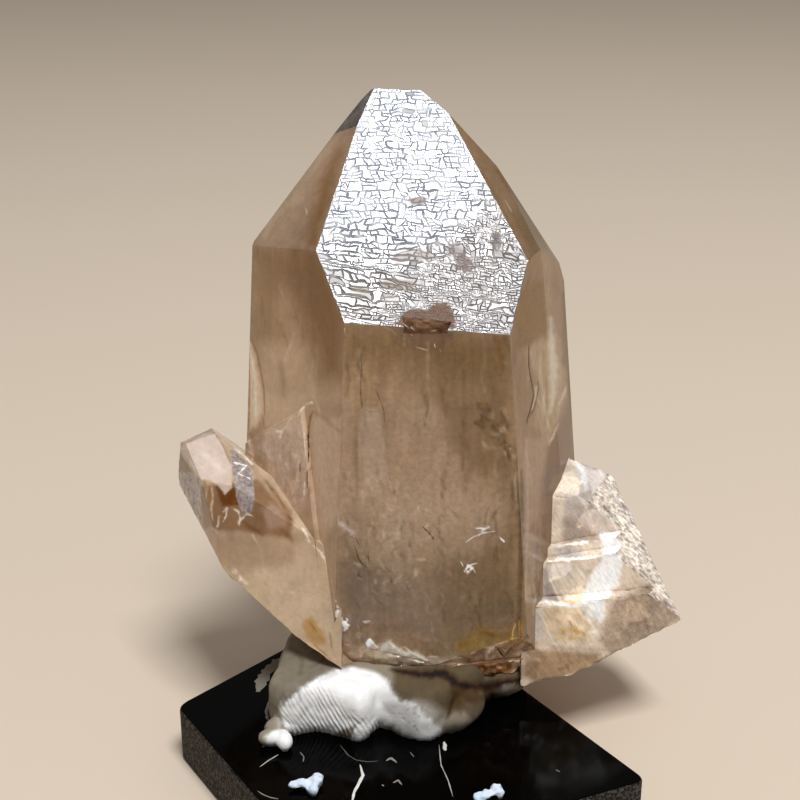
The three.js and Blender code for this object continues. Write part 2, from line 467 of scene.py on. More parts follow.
@dataclass(frozen=True)
class Mark:
    """A scratch, crack, chip, stain, tone, painted light or painted shade on the quartz or on the putty.

    Attributes:
        path: its line, or its outline where it is filled, in millimetres of the front view.
        width: width of the line in millimetres.
        colour: the colour it has to the eye, sRGB hex.
        strength: how much it covers, from 0 to 1.
        soft: width of its fading edge in millimetres.
        ragged: how far its edge wanders, in millimetres.
        filled: whether the outline is filled.
        frost: share of scattered light in it, or None for the share around it.
        mottle: strength of its flecks.
        lift: how far it stands out, in millimetres.
    """

    path: list[Pair]
    width: float
    colour: str
    strength: float
    soft: float = 0.1
    ragged: float = 0.0
    filled: bool = False
    frost: float | None = None
    mottle: float = 0.0
    lift: float = 0.0

    def margin(self) -> float:
        """Returns how far from its path the mark may still show."""
        return self.width / 2 + self.soft / 2 + self.ragged

    def reach(self) -> tuple[float, float, float, float]:
        """Finds the part of the front view that the mark may touch.

        Returns:
            The lowest place across and up, then the highest.
        """
        across = [x for x, _ in self.path]
        up = [y for _, y in self.path]
        m = self.margin()
        return min(across) - m, min(up) - m, max(across) + m, max(up) + m

    def edge_gap(self, x: float, y: float) -> float:
        """Returns how far a place is from the outline of the mark."""
        return abs(self.gap(x, y) - self.width / 2)

    def gap(self, x: float, y: float) -> float:
        """Measures how far a place is from the path.

        Args:
            x: millimetres across the front view.
            y: millimetres up the front view.

        Returns:
            The distance, below 0 inside a filled outline.
        """
        best, inside = 1e9, False
        count = len(self.path)
        for i in range(count if self.filled else max(1, count - 1)):
            (x1, y1), (x2, y2) = self.path[i], self.path[(i + 1) % count]
            dx, dy = x2 - x1, y2 - y1
            length = dx * dx + dy * dy
            t = 0.0 if length == 0 else ((x - x1) * dx + (y - y1) * dy) / length
            t = min(1.0, max(0.0, t))
            best = min(best, math.hypot(x1 + t * dx - x, y1 + t * dy - y))
            if self.filled and (y1 > y) != (y2 > y) and x < x1 + (y - y1) / dy * dx:
                inside = not inside
        return -best if inside else best

    def cover(self, x: float, y: float) -> float:
        """Says how much of the mark lies on a place of the front view.

        Args:
            x: millimetres across.
            y: millimetres up.

        Returns:
            The share that it covers, up to its strength.
        """
        gap = self.gap(x, y)
        if self.ragged:
            gap += self.ragged * grain(Vector((x, y, self.width)), 0.7, 8)
        half = self.width / 2
        if not self.filled:
            ends = min(math.dist((x, y), self.path[0]), math.dist((x, y), self.path[-1]))
            uneven = 0.8 + 0.5 * grain(Vector((x, y, self.width * 9)), 0.8, 4)
            half *= min(1.0, 0.35 + ends / (self.width * 5)) * uneven
        return self.strength * (1 - smoothstep(-self.soft / 2, self.soft / 2, gap - half))


def stroke(
    colour: str, width: float, strength: float, soft: float, ragged: float,
    *path: Pair, **more: float,
) -> Mark:
    """Makes a mark that is a line; more holds its other settings by name."""
    return Mark(list(path), width, colour, strength, soft, ragged, **more)


def blot(
    colour: str, width: float, strength: float, soft: float, ragged: float,
    *path: Pair, **more: float,
) -> Mark:
    """Makes a mark that fills its outline; more holds its other settings by name."""
    return Mark(list(path), width, colour, strength, soft, ragged, filled=True, **more)


# Marks of the skin, from the lowest to the uppermost, as the front view shows them

MOSAIC_MARKS = [
    blot("6b4a36", 0.12, 1, 0.19, 0.19, (-0.5, 9.4), (0.5, 11), (2, 11.4), (3, 11), (4.2, 11.9),
        (5.5, 12.2), (6.2, 11.8), (6.9, 10.2), (7, 9)),
    blot("6f5a50", 0.25, 0.8, 0.5, 0.25, (7, 17.8), (7.8, 18), (9.2, 17.1), (8.8, 16), (7.2, 16.5)),
    blot("7a6c66", 0.25, 0.7, 0.5, 0.25, (5.8, 19.2), (7.8, 19.2), (8.1, 18.2), (6.2, 18.2)),
    blot("6a625f", 0.19, 0.85, 0.38, 0.19, (11.5, 20.6), (12.5, 20.9), (12.5, 19.2), (11.6, 18.8)),
    blot("7d6c5c", 0.25, 0.7, 0.62, 0.38, (-2.5, 15.2), (1.9, 14.8), (1.8, 13.6), (-2, 14)),
    blot("85756a", 0.38, 0.6, 0.75, 0.5, (-1, 18.5), (3.8, 18.8), (4, 17.5), (-0.5, 17.2)),
    blot("7f7066", 0.19, 0.85, 0.38, 0.12, (1.2, 25.1), (3.2, 25.5), (3, 24.5), (1.5, 24.4)),
    blot("857c68", 0.19, 0.7, 0.5, 0.25, (-6, 14.6), (-4.2, 13.8), (-4.8, 12.5), (-6, 13)),
    stroke("8a8f9c", 0.44, 0.8, 0.38, 0.19, (-6.6, 29.2), (-5.2, 29), (-3.8, 29.2)),
    stroke("8a93a6", 0.24, 0.8, 0.38, 0.19, (-1.8, 36), (-1, 36.5), (-0.2, 35.8)),
    stroke("8a93a6", 0.38, 0.8, 0.38, 0.19, (1, 35.5), (1.8, 35.1), (1.5, 34)),
    stroke("848c9c", 0.38, 0.7, 0.38, 0.19, (3.5, 36.5), (4.2, 35.5)),
    stroke("6f5c48", 0.24, 0.7, 0.38, 0.19, (-5, 23), (-4.6, 20.5)),
    stroke("77706e", 0.5, 0.8, 0.5, 0.25, (3.8, 27), (4.2, 25.5)),
]

# Painted light and shade on the white putty: the white patches are painted sunlight on its lit lobe and
# knobs, the grey-beige and brown patches are painted shadow, and the dark strokes are painted shade in
# its creases and a painted shadow line under the crystal's foot.
PUTTY_SUN_AND_SHADE_MARKS = [
    blot("ffffff", 0.12, 1, 0.62, 0, (-12.5, -36.2), (-10.2, -35), (-8.1, -34), (-6.2, -33.6),
        (-4.8, -33.9), (-3.1, -34.4), (-1.8, -35.2), (-1, -36.2), (-0.2, -37.5), (0.2, -38.8),
        (0.6, -40.2), (-1.9, -40.5), (-4.4, -40.2), (-6.9, -40.8), (-9.4, -41.8), (-12.5, -41.8),
        (-14.4, -40.8), (-14.8, -38.2)),
    blot("b3ada1", 0.12, 0.85, 0.88, 0.5, (0.2, -38.2), (2.2, -37.5), (4, -38.2), (5, -40), (4.2, -42),
        (3, -42.9), (1, -42.2), (0, -41)),
    stroke("ebe8e0", 0.88, 0.8, 0.75, 0.38, (-0.2, -37.8), (0.8, -38.8), (1.2, -40)),
    stroke("dcd8ce", 0.23, 0.8, 0.25, 0.25, (0.8, -37.5), (0.5, -39.5)),
    blot("7d7568", 0.12, 0.85, 0.88, 0.5, (-14.5, -31.9), (-12.5, -30), (-8.8, -30), (-6.2, -31.9),
        (-6, -33.4), (-8.1, -33.9), (-10.2, -34.9), (-12.5, -36.1), (-14.5, -38), (-15.4, -36.2),
        mottle=0.4),
    stroke("575044", 0.38, 0.8, 0.5, 0.25, (-14.5, -33.5), (-13.2, -32), (-11.5, -31.2)),
    stroke("665e51", 0.38, 0.7, 0.5, 0.25, (-13.8, -35.5), (-12, -34), (-10, -33)),
    stroke("4e463a", 0.5, 0.7, 0.62, 0.25, (-9.8, -32.8), (-8.2, -32), (-6.5, -32.2)),
    stroke("b9b3a7", 0.62, 0.7, 0.5, 0.25, (-14.6, -37.5), (-15.2, -40.2), (-15, -42.2)),
    stroke("cfcabf", 0.2, 0.7, 0.25, 0.25, (1.9, -37.1), (1.8, -39.2)),
    stroke("c9c3b7", 0.2, 0.6, 0.25, 0.25, (3, -37.4), (3, -39.5)),
    stroke("d8d3c9", 0.2, 0.7, 0.25, 0.25, (1, -40.2), (2.2, -41.8), (3.8, -42.2)),
    stroke("8f887b", 0.16, 0.7, 0.25, 0.12, (0, -39.2), (1.2, -41.2), (3, -42.6)),
    blot("fdfdfb", 0.12, 1, 0.25, 0, (-5, -39.5), (-2.6, -39.5), (-2.6, -40.9), (-3.5, -42.1),
        (-4.8, -43.4), (-5.8, -41.9)),
    blot("5e5140", 0.12, 0.9, 1.12, 0, (-0.8, -33.5), (15, -32.5), (15.8, -35.2), (13.1, -36.2),
        (8.8, -38), (6.2, -39), (4.2, -37.8), (2.5, -37.5), (0.5, -37.5), (-0.8, -36.2)),
    stroke("2c1c10", 1, 1, 1, 0.12, (-1, -34), (2.5, -34.6), (5.6, -34.5), (7, -35.5), (9.2, -36),
        (12.5, -35.5), (15.5, -34.8)),
    stroke("453a2b", 0.62, 0.9, 0.5, 0.19, (6.2, -35.2), (6.6, -36.5), (6.2, -38.2), (5.8, -39.5)),
    stroke("5b5043", 0.24, 0.7, 0.38, 0, (2.5, -35.5), (3, -37.5)),
    stroke("5b5043", 0.24, 0.7, 0.38, 0, (4.2, -35.5), (4.6, -37.5)),
    stroke("5f5446", 0.24, 0.6, 0.38, 0, (1.2, -35.2), (1.5, -37.2)),
    stroke("9c9486", 1.12, 0.8, 1, 0.38, (7.8, -37.8), (10, -39), (11.8, -37.8)),
    stroke("a39b8d", 0.75, 0.8, 0.62, 0.25, (9.8, -36.8), (12.5, -36.2), (14, -35.5)),
    stroke("7a6f60", 0.5, 0.6, 0.5, 0.25, (8.2, -36.5), (10, -37.5), (11.2, -36.8)),
    stroke("a49a86", 0.5, 0.35, 0.62, 0, (-10.2, -35.5), (-6.9, -34), (-3.5, -34.8)),
    blot("f5f4f0", 0.12, 1, 0.38, 0, (-16.8, -42.2), (-15.8, -41.5), (-13.5, -41.2), (-13, -42.8),
        (-13.8, -44.5), (-15.5, -44)),
    blot("857c6c", 0.25, 0.8, 1, 0, (-14.5, -30), (-12.5, -30), (-11, -32.5), (-11.8, -34.8),
        (-13.8, -35.5), (-15, -34.5)),
    stroke("6a604f", 0.5, 0.7, 0.5, 0.25, (-13, -31.2), (-12.2, -32.8), (-12.5, -34.5)),
    stroke("8b8272", 0.5, 0.7, 0.75, 0, (-14.5, -36.2), (-13, -35.5), (-12.5, -37.5)),
    blot("ffffff", 0.12, 1, 1.12, 0.62, (-0.5, -37.2), (1.5, -38), (3.5, -39.5), (5.2, -42), (3.8, -43.1),
        (1.2, -42), (-0.8, -39.5)),
    stroke("ffffff", 0.21, 1, 0.38, 0.25, (0.5, -38), (2.5, -39.5), (4.5, -41.8)),
    stroke("8f887b", 0.16, 0.7, 0.25, 0.19, (0, -39), (1.8, -40.5), (3.5, -42.5)),
    stroke("9a9386", 0.14, 0.6, 0.25, 0.19, (1.2, -38.5), (3.2, -40), (5, -42)),
    blot("4c3b2b", 0.12, 0.75, 1.5, 0.5, (6.5, -36.2), (12.5, -35.8), (13.1, -38), (8.8, -39.5),
        (6.2, -38.5)),
]

FRONT_MARKS = [
    blot("7d6042", 1.25, 0.7, 5.5, 0, (-6.9, 8.8), (13.1, 7.5), (12.5, 4.2), (-6.2, 5)),
    blot("755a3b", 1, 0.45, 5.5, 0, (3.8, 6.2), (12.5, 6.2), (13.1, 0), (5, 0.6)),
    blot("a3876c", 0.5, 0.6, 1.75, 0, (-8.8, 0), (-6.2, 0), (-6, -12.5), (-8.8, -15)),
    blot("a5896e", 1.25, 0.55, 3.75, 0, (-1, 0), (8.8, -2.5), (9.8, -15), (0, -17.5)),
    blot("77604a", 0.75, 0.3, 5.5, 0, (-7.5, -20), (5, -20), (13.1, -17.5), (14.5, -25), (14.4, -30),
        (-6.9, -28.1)),
    blot("7f685a", 0.75, 0.4, 5.5, 0.62, (-6.9, -21.2), (5, -21.9), (3.8, -30), (-6.2, -28.1)),
    blot("6d553c", 0.75, 0.5, 5.5, 0, (6.5, -20), (13.1, -18.1), (14.8, -25), (14.2, -30), (6.9, -28.1)),
    blot("ab917a", 0.25, 0.6, 1, 0, (-4.5, -1.2), (-2.8, -1.2), (-2.1, -5), (-1.8, -10), (-3.2, -12.5),
        (-5.2, -11.2), (-5.2, -5)),
    blot("a68b73", 0.5, 0.5, 3.75, 1, (-8.1, -13.1), (-6.2, -9.8), (-1.9, -8.8), (3.8, -11.5),
        (12.5, -12.5), (12.5, -16.2), (7.8, -19.5), (2.5, -20), (0, -22.5), (-1.9, -21.5), (-3.5, -20.8),
        (-4.8, -20.2), (-6, -17.5), (-7.8, -16), mottle=0.3),
    stroke("b29a80", 1.75, 0.35, 1.25, 0.62, (-3.5, -13.5), (-1.2, -15), (-2, -18.1), (0.2, -15.6),
        (-0.2, -12.5), mottle=0.5),
    stroke("8d7157", 0.62, 0.5, 0.62, 0.38, (-4.4, -14.4), (-3.1, -16.9), (-2, -19)),
    stroke("806750", 0.62, 0.5, 0.62, 0.38, (-6.9, -12.5), (-6.2, -14.8)),
    stroke("8a6e54", 0.5, 0.5, 0.5, 0.25, (-4.2, -10.4), (-3.5, -12.5)),
    stroke("6f5744", 1, 0.45, 1, 0, (-7.4, -17.5), (-6, -19), (-5, -20.8), (-3.5, -21.9)),
    stroke("bba69a", 0.5, 0.9, 0.38, 0.12, (-8.4, -13.1), (-7.8, -15.1), (-6.8, -16), (-5.9, -16.6),
        (-5.5, -17.5)),
    stroke("4a3626", 0.23, 0.95, 0.1, 0, (-5.6, -17.2), (-5.1, -18.1)),
    stroke("4a3626", 0.27, 0.95, 0.12, 0, (-5.6, -18.4), (-5.2, -19.8), (-4.8, -20.4), (-4.2, -20.9)),
    stroke("594330", 0.2, 0.8, 0.12, 0, (-4, -19), (-3.9, -20.2)),
    stroke("3c2a1c", 0.4, 1, 0.12, 0, (2.9, -15.9), (3.4, -16.4), (3.9, -16.9), (4.2, -17.4)),
    stroke("57402a", 0.16, 0.9, 0.1, 0, (-4.9, 5.8), (-4.8, 3.8), (-4.9, 2.5), (-4.9, 0.6), (-4.7, -1.1)),
    stroke("7b6147", 0.14, 0.5, 0.1, 0, (-4.6, -1.2), (-3.5, -1.5), (-2.5, -1.4)),
    blot("7b6044", 0.75, 0.7, 3.25, 0, (5.6, -0.6), (13.1, 0), (13.8, -8.8), (8.8, -8.8), (6.2, -5)),
    stroke("6a5035", 0.15, 0.75, 0.1, 0, (-3, 1.2), (-2.4, -0.2), (-2, -1.5), (-1.9, -2.8)),
    stroke("7b6248", 0.5, 0.5, 0.5, 0, (-5.4, -3.1), (-5.4, -7.5), (-5.4, -12.5)),
    stroke("bba38b", 0.2, 0.5, 0.38, 0, (-2, -5), (-1.9, -9.4)),
    stroke("7a6048", 0.2, 0.5, 0.38, 0, (-3.1, -8.1), (-2.6, -10), (-2, -11.5)),
    stroke("c4ad93", 0.2, 0.5, 0.25, 0, (-1.5, -9.8), (-1, -11.2)),
    stroke("8f7355", 0.38, 0.35, 0.75, 0, (8, 2.5), (8.1, -10), (7.9, -20)),
    stroke("553f2d", 1, 0.95, 0.5, 0.25, (10, -0.5), (10.2, -2.2), (10, -3.2)),
    stroke("5c4436", 0.88, 0.9, 0.62, 0.38, (10.5, -2), (12.2, -3.2)),
    stroke("55402f", 1.12, 0.9, 0.62, 0.5, (11.6, -3), (12.5, -4.5), (13.6, -6.1)),
    stroke("6c5540", 0.5, 0.5, 0.62, 0.38, (12.1, -5), (13.1, -6.2)),
    stroke("6b5038", 0.21, 0.8, 0.25, 0, (14.6, 0.1), (14.9, -0.5), (15, -1.2)),
    stroke("7d6244", 0.2, 0.6, 0.25, 0, (14.5, 3.5), (14.9, 2)),
    stroke("96795a", 1, 0.6, 0.75, 0.38, (13.1, 5), (14.5, 3.5), (14.9, 1), (14.1, -1.5)),
    stroke("74593d", 0.5, 0.5, 0.38, 0, (7.9, 6.2), (8.1, -2.5), (7.9, -8.8)),
    stroke("55402c", 0.38, 0.7, 0.38, 0.12, (13.4, 7.8), (13.5, 6), (13, 4.8)),
    # The dark strip down the right edge of the front face is painted shade.
    stroke("4f3a28", 1, 0.95, 0.62, 0, (14.8, -5.8), (14.8, -8.5)),
    stroke("4f3b28", 0.75, 0.95, 0.75, 0, (15, -8.8), (15.1, -20), (14.9, -30)),
    stroke("6f5539", 1, 0.5, 1.25, 0, (14.1, -11.2), (14, -20)),
    stroke("a9937b", 0.2, 0.7, 0.25, 0, (14.4, -9.2), (14.5, -12.5)),
    stroke("523e2c", 0.25, 0.9, 0.25, 0, (14, -10.2), (14.1, -12.5)),
    blot("5e4229", 0.12, 0.6, 1.12, 0.25, (11.8, 7.9), (13, 7.9), (12.6, 5.8), (12.1, 5.5)),
    stroke("644a2c", 1.38, 0.75, 1.25, 0, (12.4, 6.8), (12.5, 3.5)),
    stroke("9c8263", 0.2, 0.45, 0.62, 0, (10.8, 6), (10.2, 2.5), (11, -0.2)),
    blot("755a46", 0.25, 0.55, 1.25, 0.25, (-0.5, 9.6), (1.9, 10), (6.5, 10.2), (7.2, 8.6), (5.5, 6.4),
        (1.5, 6.2), (-0.5, 7.5)),
    stroke("e9ddcf", 0.15, 0.95, 0.1, 0, (0.2, 9.8), (0.6, 9.4), (1.1, 9), frost=0.9),
    stroke("f6f2f0", 0.25, 1, 0.1, 0, (1.4, 9.1), (1.8, 8.8), frost=0.95),
    stroke("c9b7b4", 0.16, 0.8, 0.1, 0, (1.4, 8.4), (1.5, 8.1)),
    stroke("f1dfc4", 0.2, 1, 0.1, 0, (3.9, 8.6), (4.6, 8.7), frost=0.9),
    stroke("e3d2bc", 0.18, 0.9, 0.1, 0, (4.3, 7), (4.4, 6.6)),
    stroke("b9a088", 0.15, 0.8, 0.1, 0, (2, 6.6), (2.8, 6.4), (3.4, 6.2)),
    stroke("cfc0b2", 0.14, 0.7, 0.1, 0, (5, 6.2), (5.1, 6.1)),
    stroke("a2876e", 0.16, 0.5, 0.1, 0, (-2, 9.1), (-1.1, 8.8), (-0.4, 8)),
    stroke("6b4a30", 0.23, 0.6, 0.25, 0, (-0.9, 7.4), (0, 6.8), (0.6, 6)),
    stroke("b9a58f", 0.16, 0.6, 0.1, 0, (6.5, 9.2), (6.2, 8.5)),
    stroke("c9ad8f", 0.2, 0.7, 0.1, 0, (-7, 9), (-6.9, 8.4)),
    stroke("d5cabb", 0.18, 0.9, 0.1, 0, (8.2, -17.8), (9.2, -17.1), (10.5, -16.6), (11.9, -16.4),
        frost=0.85, lift=0.03),
    stroke("fbf7f2", 0.4, 1, 0.19, 0.19, (9.2, -16.1), (10.1, -16), (10.6, -16.2), (11, -15.9),
        frost=0.95, lift=0.05),
    stroke("f4efe8", 0.47, 1, 0.19, 0.19, (10.5, -16.1), (10, -16.8), frost=0.95),
    stroke("e2d8cc", 0.25, 0.9, 0.12, 0.12, (12.5, -17.2), (13, -17.7)),
    stroke("e7d9c8", 0.14, 0.9, 0.1, 0, (7.6, -20.2), (7.9, -20.8)),
    stroke("f2e8dd", 0.45, 1, 0.19, 0.19, (8.1, -21.4), (8.5, -20.8), (9, -21.1), (8.4, -21.5), frost=0.9,
        lift=0.04),
    stroke("eadccb", 0.15, 0.9, 0.1, 0, (8.5, -20.8), (9.1, -20.5), (9.6, -20.4)),
    stroke("ddcdbb", 0.14, 0.85, 0.1, 0, (9.1, -20.9), (9.4, -21.6)),
    blot("86652f", 0.12, 0.65, 1.5, 0.62, (6.9, -31.1), (7.6, -30), (9, -29), (10, -28.4), (12.5, -28.9),
        (14.1, -28.2), (14.6, -30), (12.9, -30.2), (10.8, -30.6), (8.8, -31.5), mottle=0.5),
    stroke("7a5515", 0.75, 0.8, 0.75, 0.5, (10.2, -29.1), (12.5, -29.6)),
    stroke("8c6220", 0.62, 0.7, 0.62, 0.38, (7.5, -30.8), (8.8, -30.1)),
    stroke("93793f", 0.38, 0.6, 0.5, 0.25, (8.8, -28.5), (9.5, -30), (11, -30.8)),
    stroke("7b6048", 0.5, 0.6, 0.5, 0.25, (7.8, -29.5), (6.5, -30.5)),
    stroke("d0a468", 0.15, 0.95, 0.1, 0, (14, -30.1), (14.1, -28.9), (14.5, -27.9)),
    stroke("b98a4a", 0.14, 0.9, 0.1, 0, (14.9, -30.1), (14.9, -27.5)),
    stroke("9a6d34", 0.38, 0.7, 0.25, 0, (15.2, -27.2), (15.2, -30.2)),
    stroke("f6f0ea", 1.5, 1, 0.19, 0.5, (-7.9, -26.5), (-7.4, -27.4), (-6.9, -28.4), frost=0.95,
        lift=0.2),
    stroke("e9dfd6", 0.24, 0.9, 0.12, 0.19, (-6.8, -27.1), (-6.5, -27.8), frost=0.9),
    stroke("dccdbf", 0.38, 0.9, 0.19, 0.25, (-8.1, -25), (-7.8, -25.9), frost=0.9),
    stroke("cdbba6", 0.56, 0.95, 0.25, 0.25, (-7.9, -28.8), (-7.9, -30), lift=0.1),
    stroke("d2c3b7", 0.4, 0.9, 0.19, 0.19, (-4.5, -27.8), (-3.8, -27.6)),
    blot("f5f1ec", 0.25, 1, 0.12, 0.12, (-4.2, -30.4), (-3.8, -29.9), (-2.8, -31), (-3.9, -31.1),
        frost=0.95, lift=0.15),
    stroke("8f7a6a", 1.5, 0.5, 0.5, 0.75, (-6.2, -27.4), (-5.2, -28.5), (-4.8, -30), mottle=1),
    blot("b39d87", 0.12, 0.9, 0.75, 0.38, (-6.2, -31.5), (-3.5, -30.5), (-1, -31), (2.5, -32.1),
        (6.2, -32.4), (10.2, -33), (10, -34.5), (3.8, -34.2), (-2.5, -33.8), (-6.2, -33.2), mottle=0.4),
    blot("6e4c34", 0.12, 0.85, 0.75, 0.25, (7.2, -33.2), (10.5, -32.5), (14, -33), (13.8, -36.2),
        (8.8, -36.2), mottle=0.6),
    stroke("a07c5c", 0.23, 0.8, 0.25, 0.19, (8.2, -34.5), (10.8, -33.6), (13.2, -33.5)),
    stroke("94714f", 0.2, 0.7, 0.25, 0.19, (9.2, -35.5), (11.5, -35)),
    stroke("9c8876", 1.12, 0.7, 0.5, 0.38, (-6.9, -29.5), (-6, -30.8), (-4.8, -32.1), (-2.8, -32.6),
        mottle=0.4),
    blot("c2b4a0", 0.12, 0.95, 0.38, 0.19, (-1.5, -30.1), (0.5, -31.4), (2, -31.6), (3.5, -32.6),
        (0.6, -33), (-1, -33.1), (-2.2, -32.6), (-4.2, -31.6), (-2.5, -31.4), mottle=0.4, lift=0.12),
    stroke("d6c9b8", 0.16, 0.8, 0.25, 0, (-1.2, -30.4), (-0.2, -31.2), (0.8, -31.9)),
    stroke("d3c8ac", 0.21, 0.9, 0.19, 0, (0.6, -30.9), (1.5, -31.6), (2.4, -32.1), (3.5, -32.6),
        lift=0.08),
    stroke("cfc2b2", 0.18, 0.8, 0.25, 0, (-2, -32.6), (-0.8, -33.1), (0.5, -33)),
    stroke("c9bcaa", 0.38, 0.6, 0.38, 0.25, (-4, -31.8), (-2.8, -32.1), (-1.2, -31.9)),
    stroke("9d876c", 0.2, 0.6, 0.38, 0, (3, -30.1), (4.2, -29.8), (5.5, -30.4), (6.5, -31.8),
        (7.6, -32.4)),
    stroke("cfbf9f", 0.21, 0.9, 0.25, 0, (3.5, -32.1), (4.8, -32.1)),
    stroke("b19c82", 0.38, 0.7, 0.38, 0.25, (5, -32), (6.5, -32.1), (8.2, -32.8)),
    stroke("8f7a5f", 1, 0.5, 0.62, 0.5, (3.8, -30.6), (5.9, -31.9), (8.8, -31.9)),
    stroke("ded3c8", 0.38, 0.8, 0.25, 0.25, (10.8, -31.9), (11.2, -31), (12, -30.6)),
    stroke("6b543f", 0.21, 0.8, 0.25, 0.12, (-2.8, -33), (-0.2, -33.5), (2.5, -34)),
    stroke("6f5a46", 0.21, 0.7, 0.25, 0.12, (-6, -32.1), (-4.5, -33), (-2.8, -33.5)),
    stroke("cbbda8", 0.38, 0.8, 0.25, 0.19, (0, -32.5), (2, -33), (3.8, -33.5)),
    stroke("c2b29b", 0.38, 0.8, 0.25, 0.19, (5, -32.8), (6.5, -33), (8, -33.5)),
    stroke("6b4c35", 0.2, 0.8, 0.25, 0.12, (6.9, -31.9), (8.5, -32.2), (10, -32.9)),
    stroke("5f3b25", 0.15, 0.9, 0.1, 0, (11.8, -30.6), (12.2, -31.2), (13, -32.1)),
    stroke("6a4630", 0.15, 0.85, 0.1, 0, (13, -32.1), (13.9, -31.4)),
    stroke("d2c5ba", 0.16, 0.7, 0.1, 0, (12.5, -30.9), (13.2, -31.5), (13.8, -30.9)),
    stroke("74492a", 0.2, 0.8, 0.19, 0, (12, -31.9), (12.9, -32.8)),
    stroke("9c8572", 0.62, 0.6, 0.5, 0.38, (14, -30.6), (14.4, -32)),
]

NOTCH_MARKS = [
    stroke("e9ddcf", 0.15, 0.95, 0.1, 0, (0.2, 9.8), (0.6, 9.4), (1.1, 9), frost=0.9),
    stroke("f6f2f0", 0.25, 1, 0.1, 0, (1.4, 9.1), (1.8, 8.8), frost=0.95),
    stroke("f1dfc4", 0.2, 1, 0.1, 0, (3.9, 8.6), (4.6, 8.7), frost=0.9),
    stroke("9a7f6c", 0.38, 0.7, 0.25, 0, (2.5, 9.8), (3.2, 9.2)),
    stroke("6a4c38", 0.38, 0.7, 0.25, 0, (5, 10.2), (5.8, 9.2)),
]

RIGHT_PRISM_MARKS = [
    blot("7d6240", 0.75, 0.7, 2, 0, (14.4, 12.5), (17.5, 14.4), (18.2, 8.8), (15, 6.9)),
    blot("a48a73", 0.5, 0.7, 1.25, 0, (15.9, -5), (18.5, -5), (18.2, -15), (16.2, -25), (15.5, -25)),
    blot("7c6551", 0.5, 0.85, 1.5, 0, (19, -5), (21.5, 0), (21.5, -12.5), (20, -15), (18.5, -20),
        (18.1, -10)),
    blot("b0987b", 0.5, 0.6, 1.5, 0, (15.9, 6.2), (19.5, 8.1), (20.2, 3.5), (20, -1.2), (18.5, -5),
        (16.9, -3.1), (17.5, 1.9), mottle=0.3),
    stroke("cbbca4", 1.12, 0.75, 0.88, 0, (18.8, 10.2), (19, 6.9), (19.2, 3.5), (19.1, 0.6),
        (18.9, -1.5)),
    stroke("a89172", 1.12, 0.6, 1, 0, (18.5, 14.4), (18.6, 10.2)),
    stroke("8d775a", 0.24, 0.6, 0.5, 0, (17.9, 6.2), (18.1, 3.5), (18.4, 0.6), (18.1, -3.1)),
    stroke("937c62", 0.38, 0.5, 0.62, 0, (19.6, 0), (18.9, -2.5), (18.2, -5)),
    stroke("c7b79d", 0.24, 0.5, 0.5, 0, (17.6, 5.6), (17.5, 3.5), (18.1, -1.2), (18.6, -3.5)),
    stroke("937c62", 0.62, 0.5, 0.75, 0, (20.5, 7.5), (20.8, 3.5), (20.1, 0)),
    stroke("cab89f", 0.5, 0.75, 0.5, 0, (21, 2.1), (20.4, 0.5), (19.9, -0.5)),
    stroke("ccbca3", 0.21, 0.9, 0.31, 0, (19.8, -2.9), (19.2, -4.4), (18.6, -5.5)),
    stroke("7c6650", 0.38, 0.5, 0.5, 0, (21.6, 1), (20.2, -1.8), (19.5, -3.8)),
    stroke("33241a", 0.15, 1, 0.1, 0, (16.1, 6.9), (16.1, 4.4), (16.4, 2.4), (16.7, 0.5), (16.4, -0.8),
        (15.9, -2.5), (15.9, -3.1), lift=-0.06),
    stroke("4a3725", 0.13, 0.95, 0.1, 0, (17.2, 2.5), (17.3, 1.6), (17.1, 0.2), (16.8, -1.1),
        (16.2, -2.1)),
    stroke("d2c1a6", 0.16, 0.6, 0.19, 0, (16.9, 1.9), (16.9, 0.4), (16.5, -1.2)),
    stroke("8a745c", 0.2, 0.6, 0.25, 0, (17.2, -2.5), (17.5, -4.8)),
    stroke("b39b85", 0.24, 0.5, 0.38, 0, (15.8, -5), (16, -15), (15.6, -25)),
    stroke("7b654e", 1.75, 0.9, 0.75, 0, (20.4, 13.1), (21, 6.2), (21.4, 0)),
    stroke("564330", 0.5, 0.9, 0.38, 0, (15.2, -8.8), (15.3, -20), (15.2, -30)),
    stroke("97805f", 0.75, 0.5, 0.75, 0, (15.9, -20), (16.6, -25), (15.5, -30)),
    stroke("7e6a54", 0.38, 0.5, 0.5, 0, (17.2, -17.5), (17, -23.8)),
    stroke("c0b09f", 1.25, 0.8, 0.38, 0.38, (15, -30), (15.4, -32)),
    stroke("6d5a47", 0.2, 0.5, 0.38, 0, (18.1, -19.4), (17.1, -25)),
]

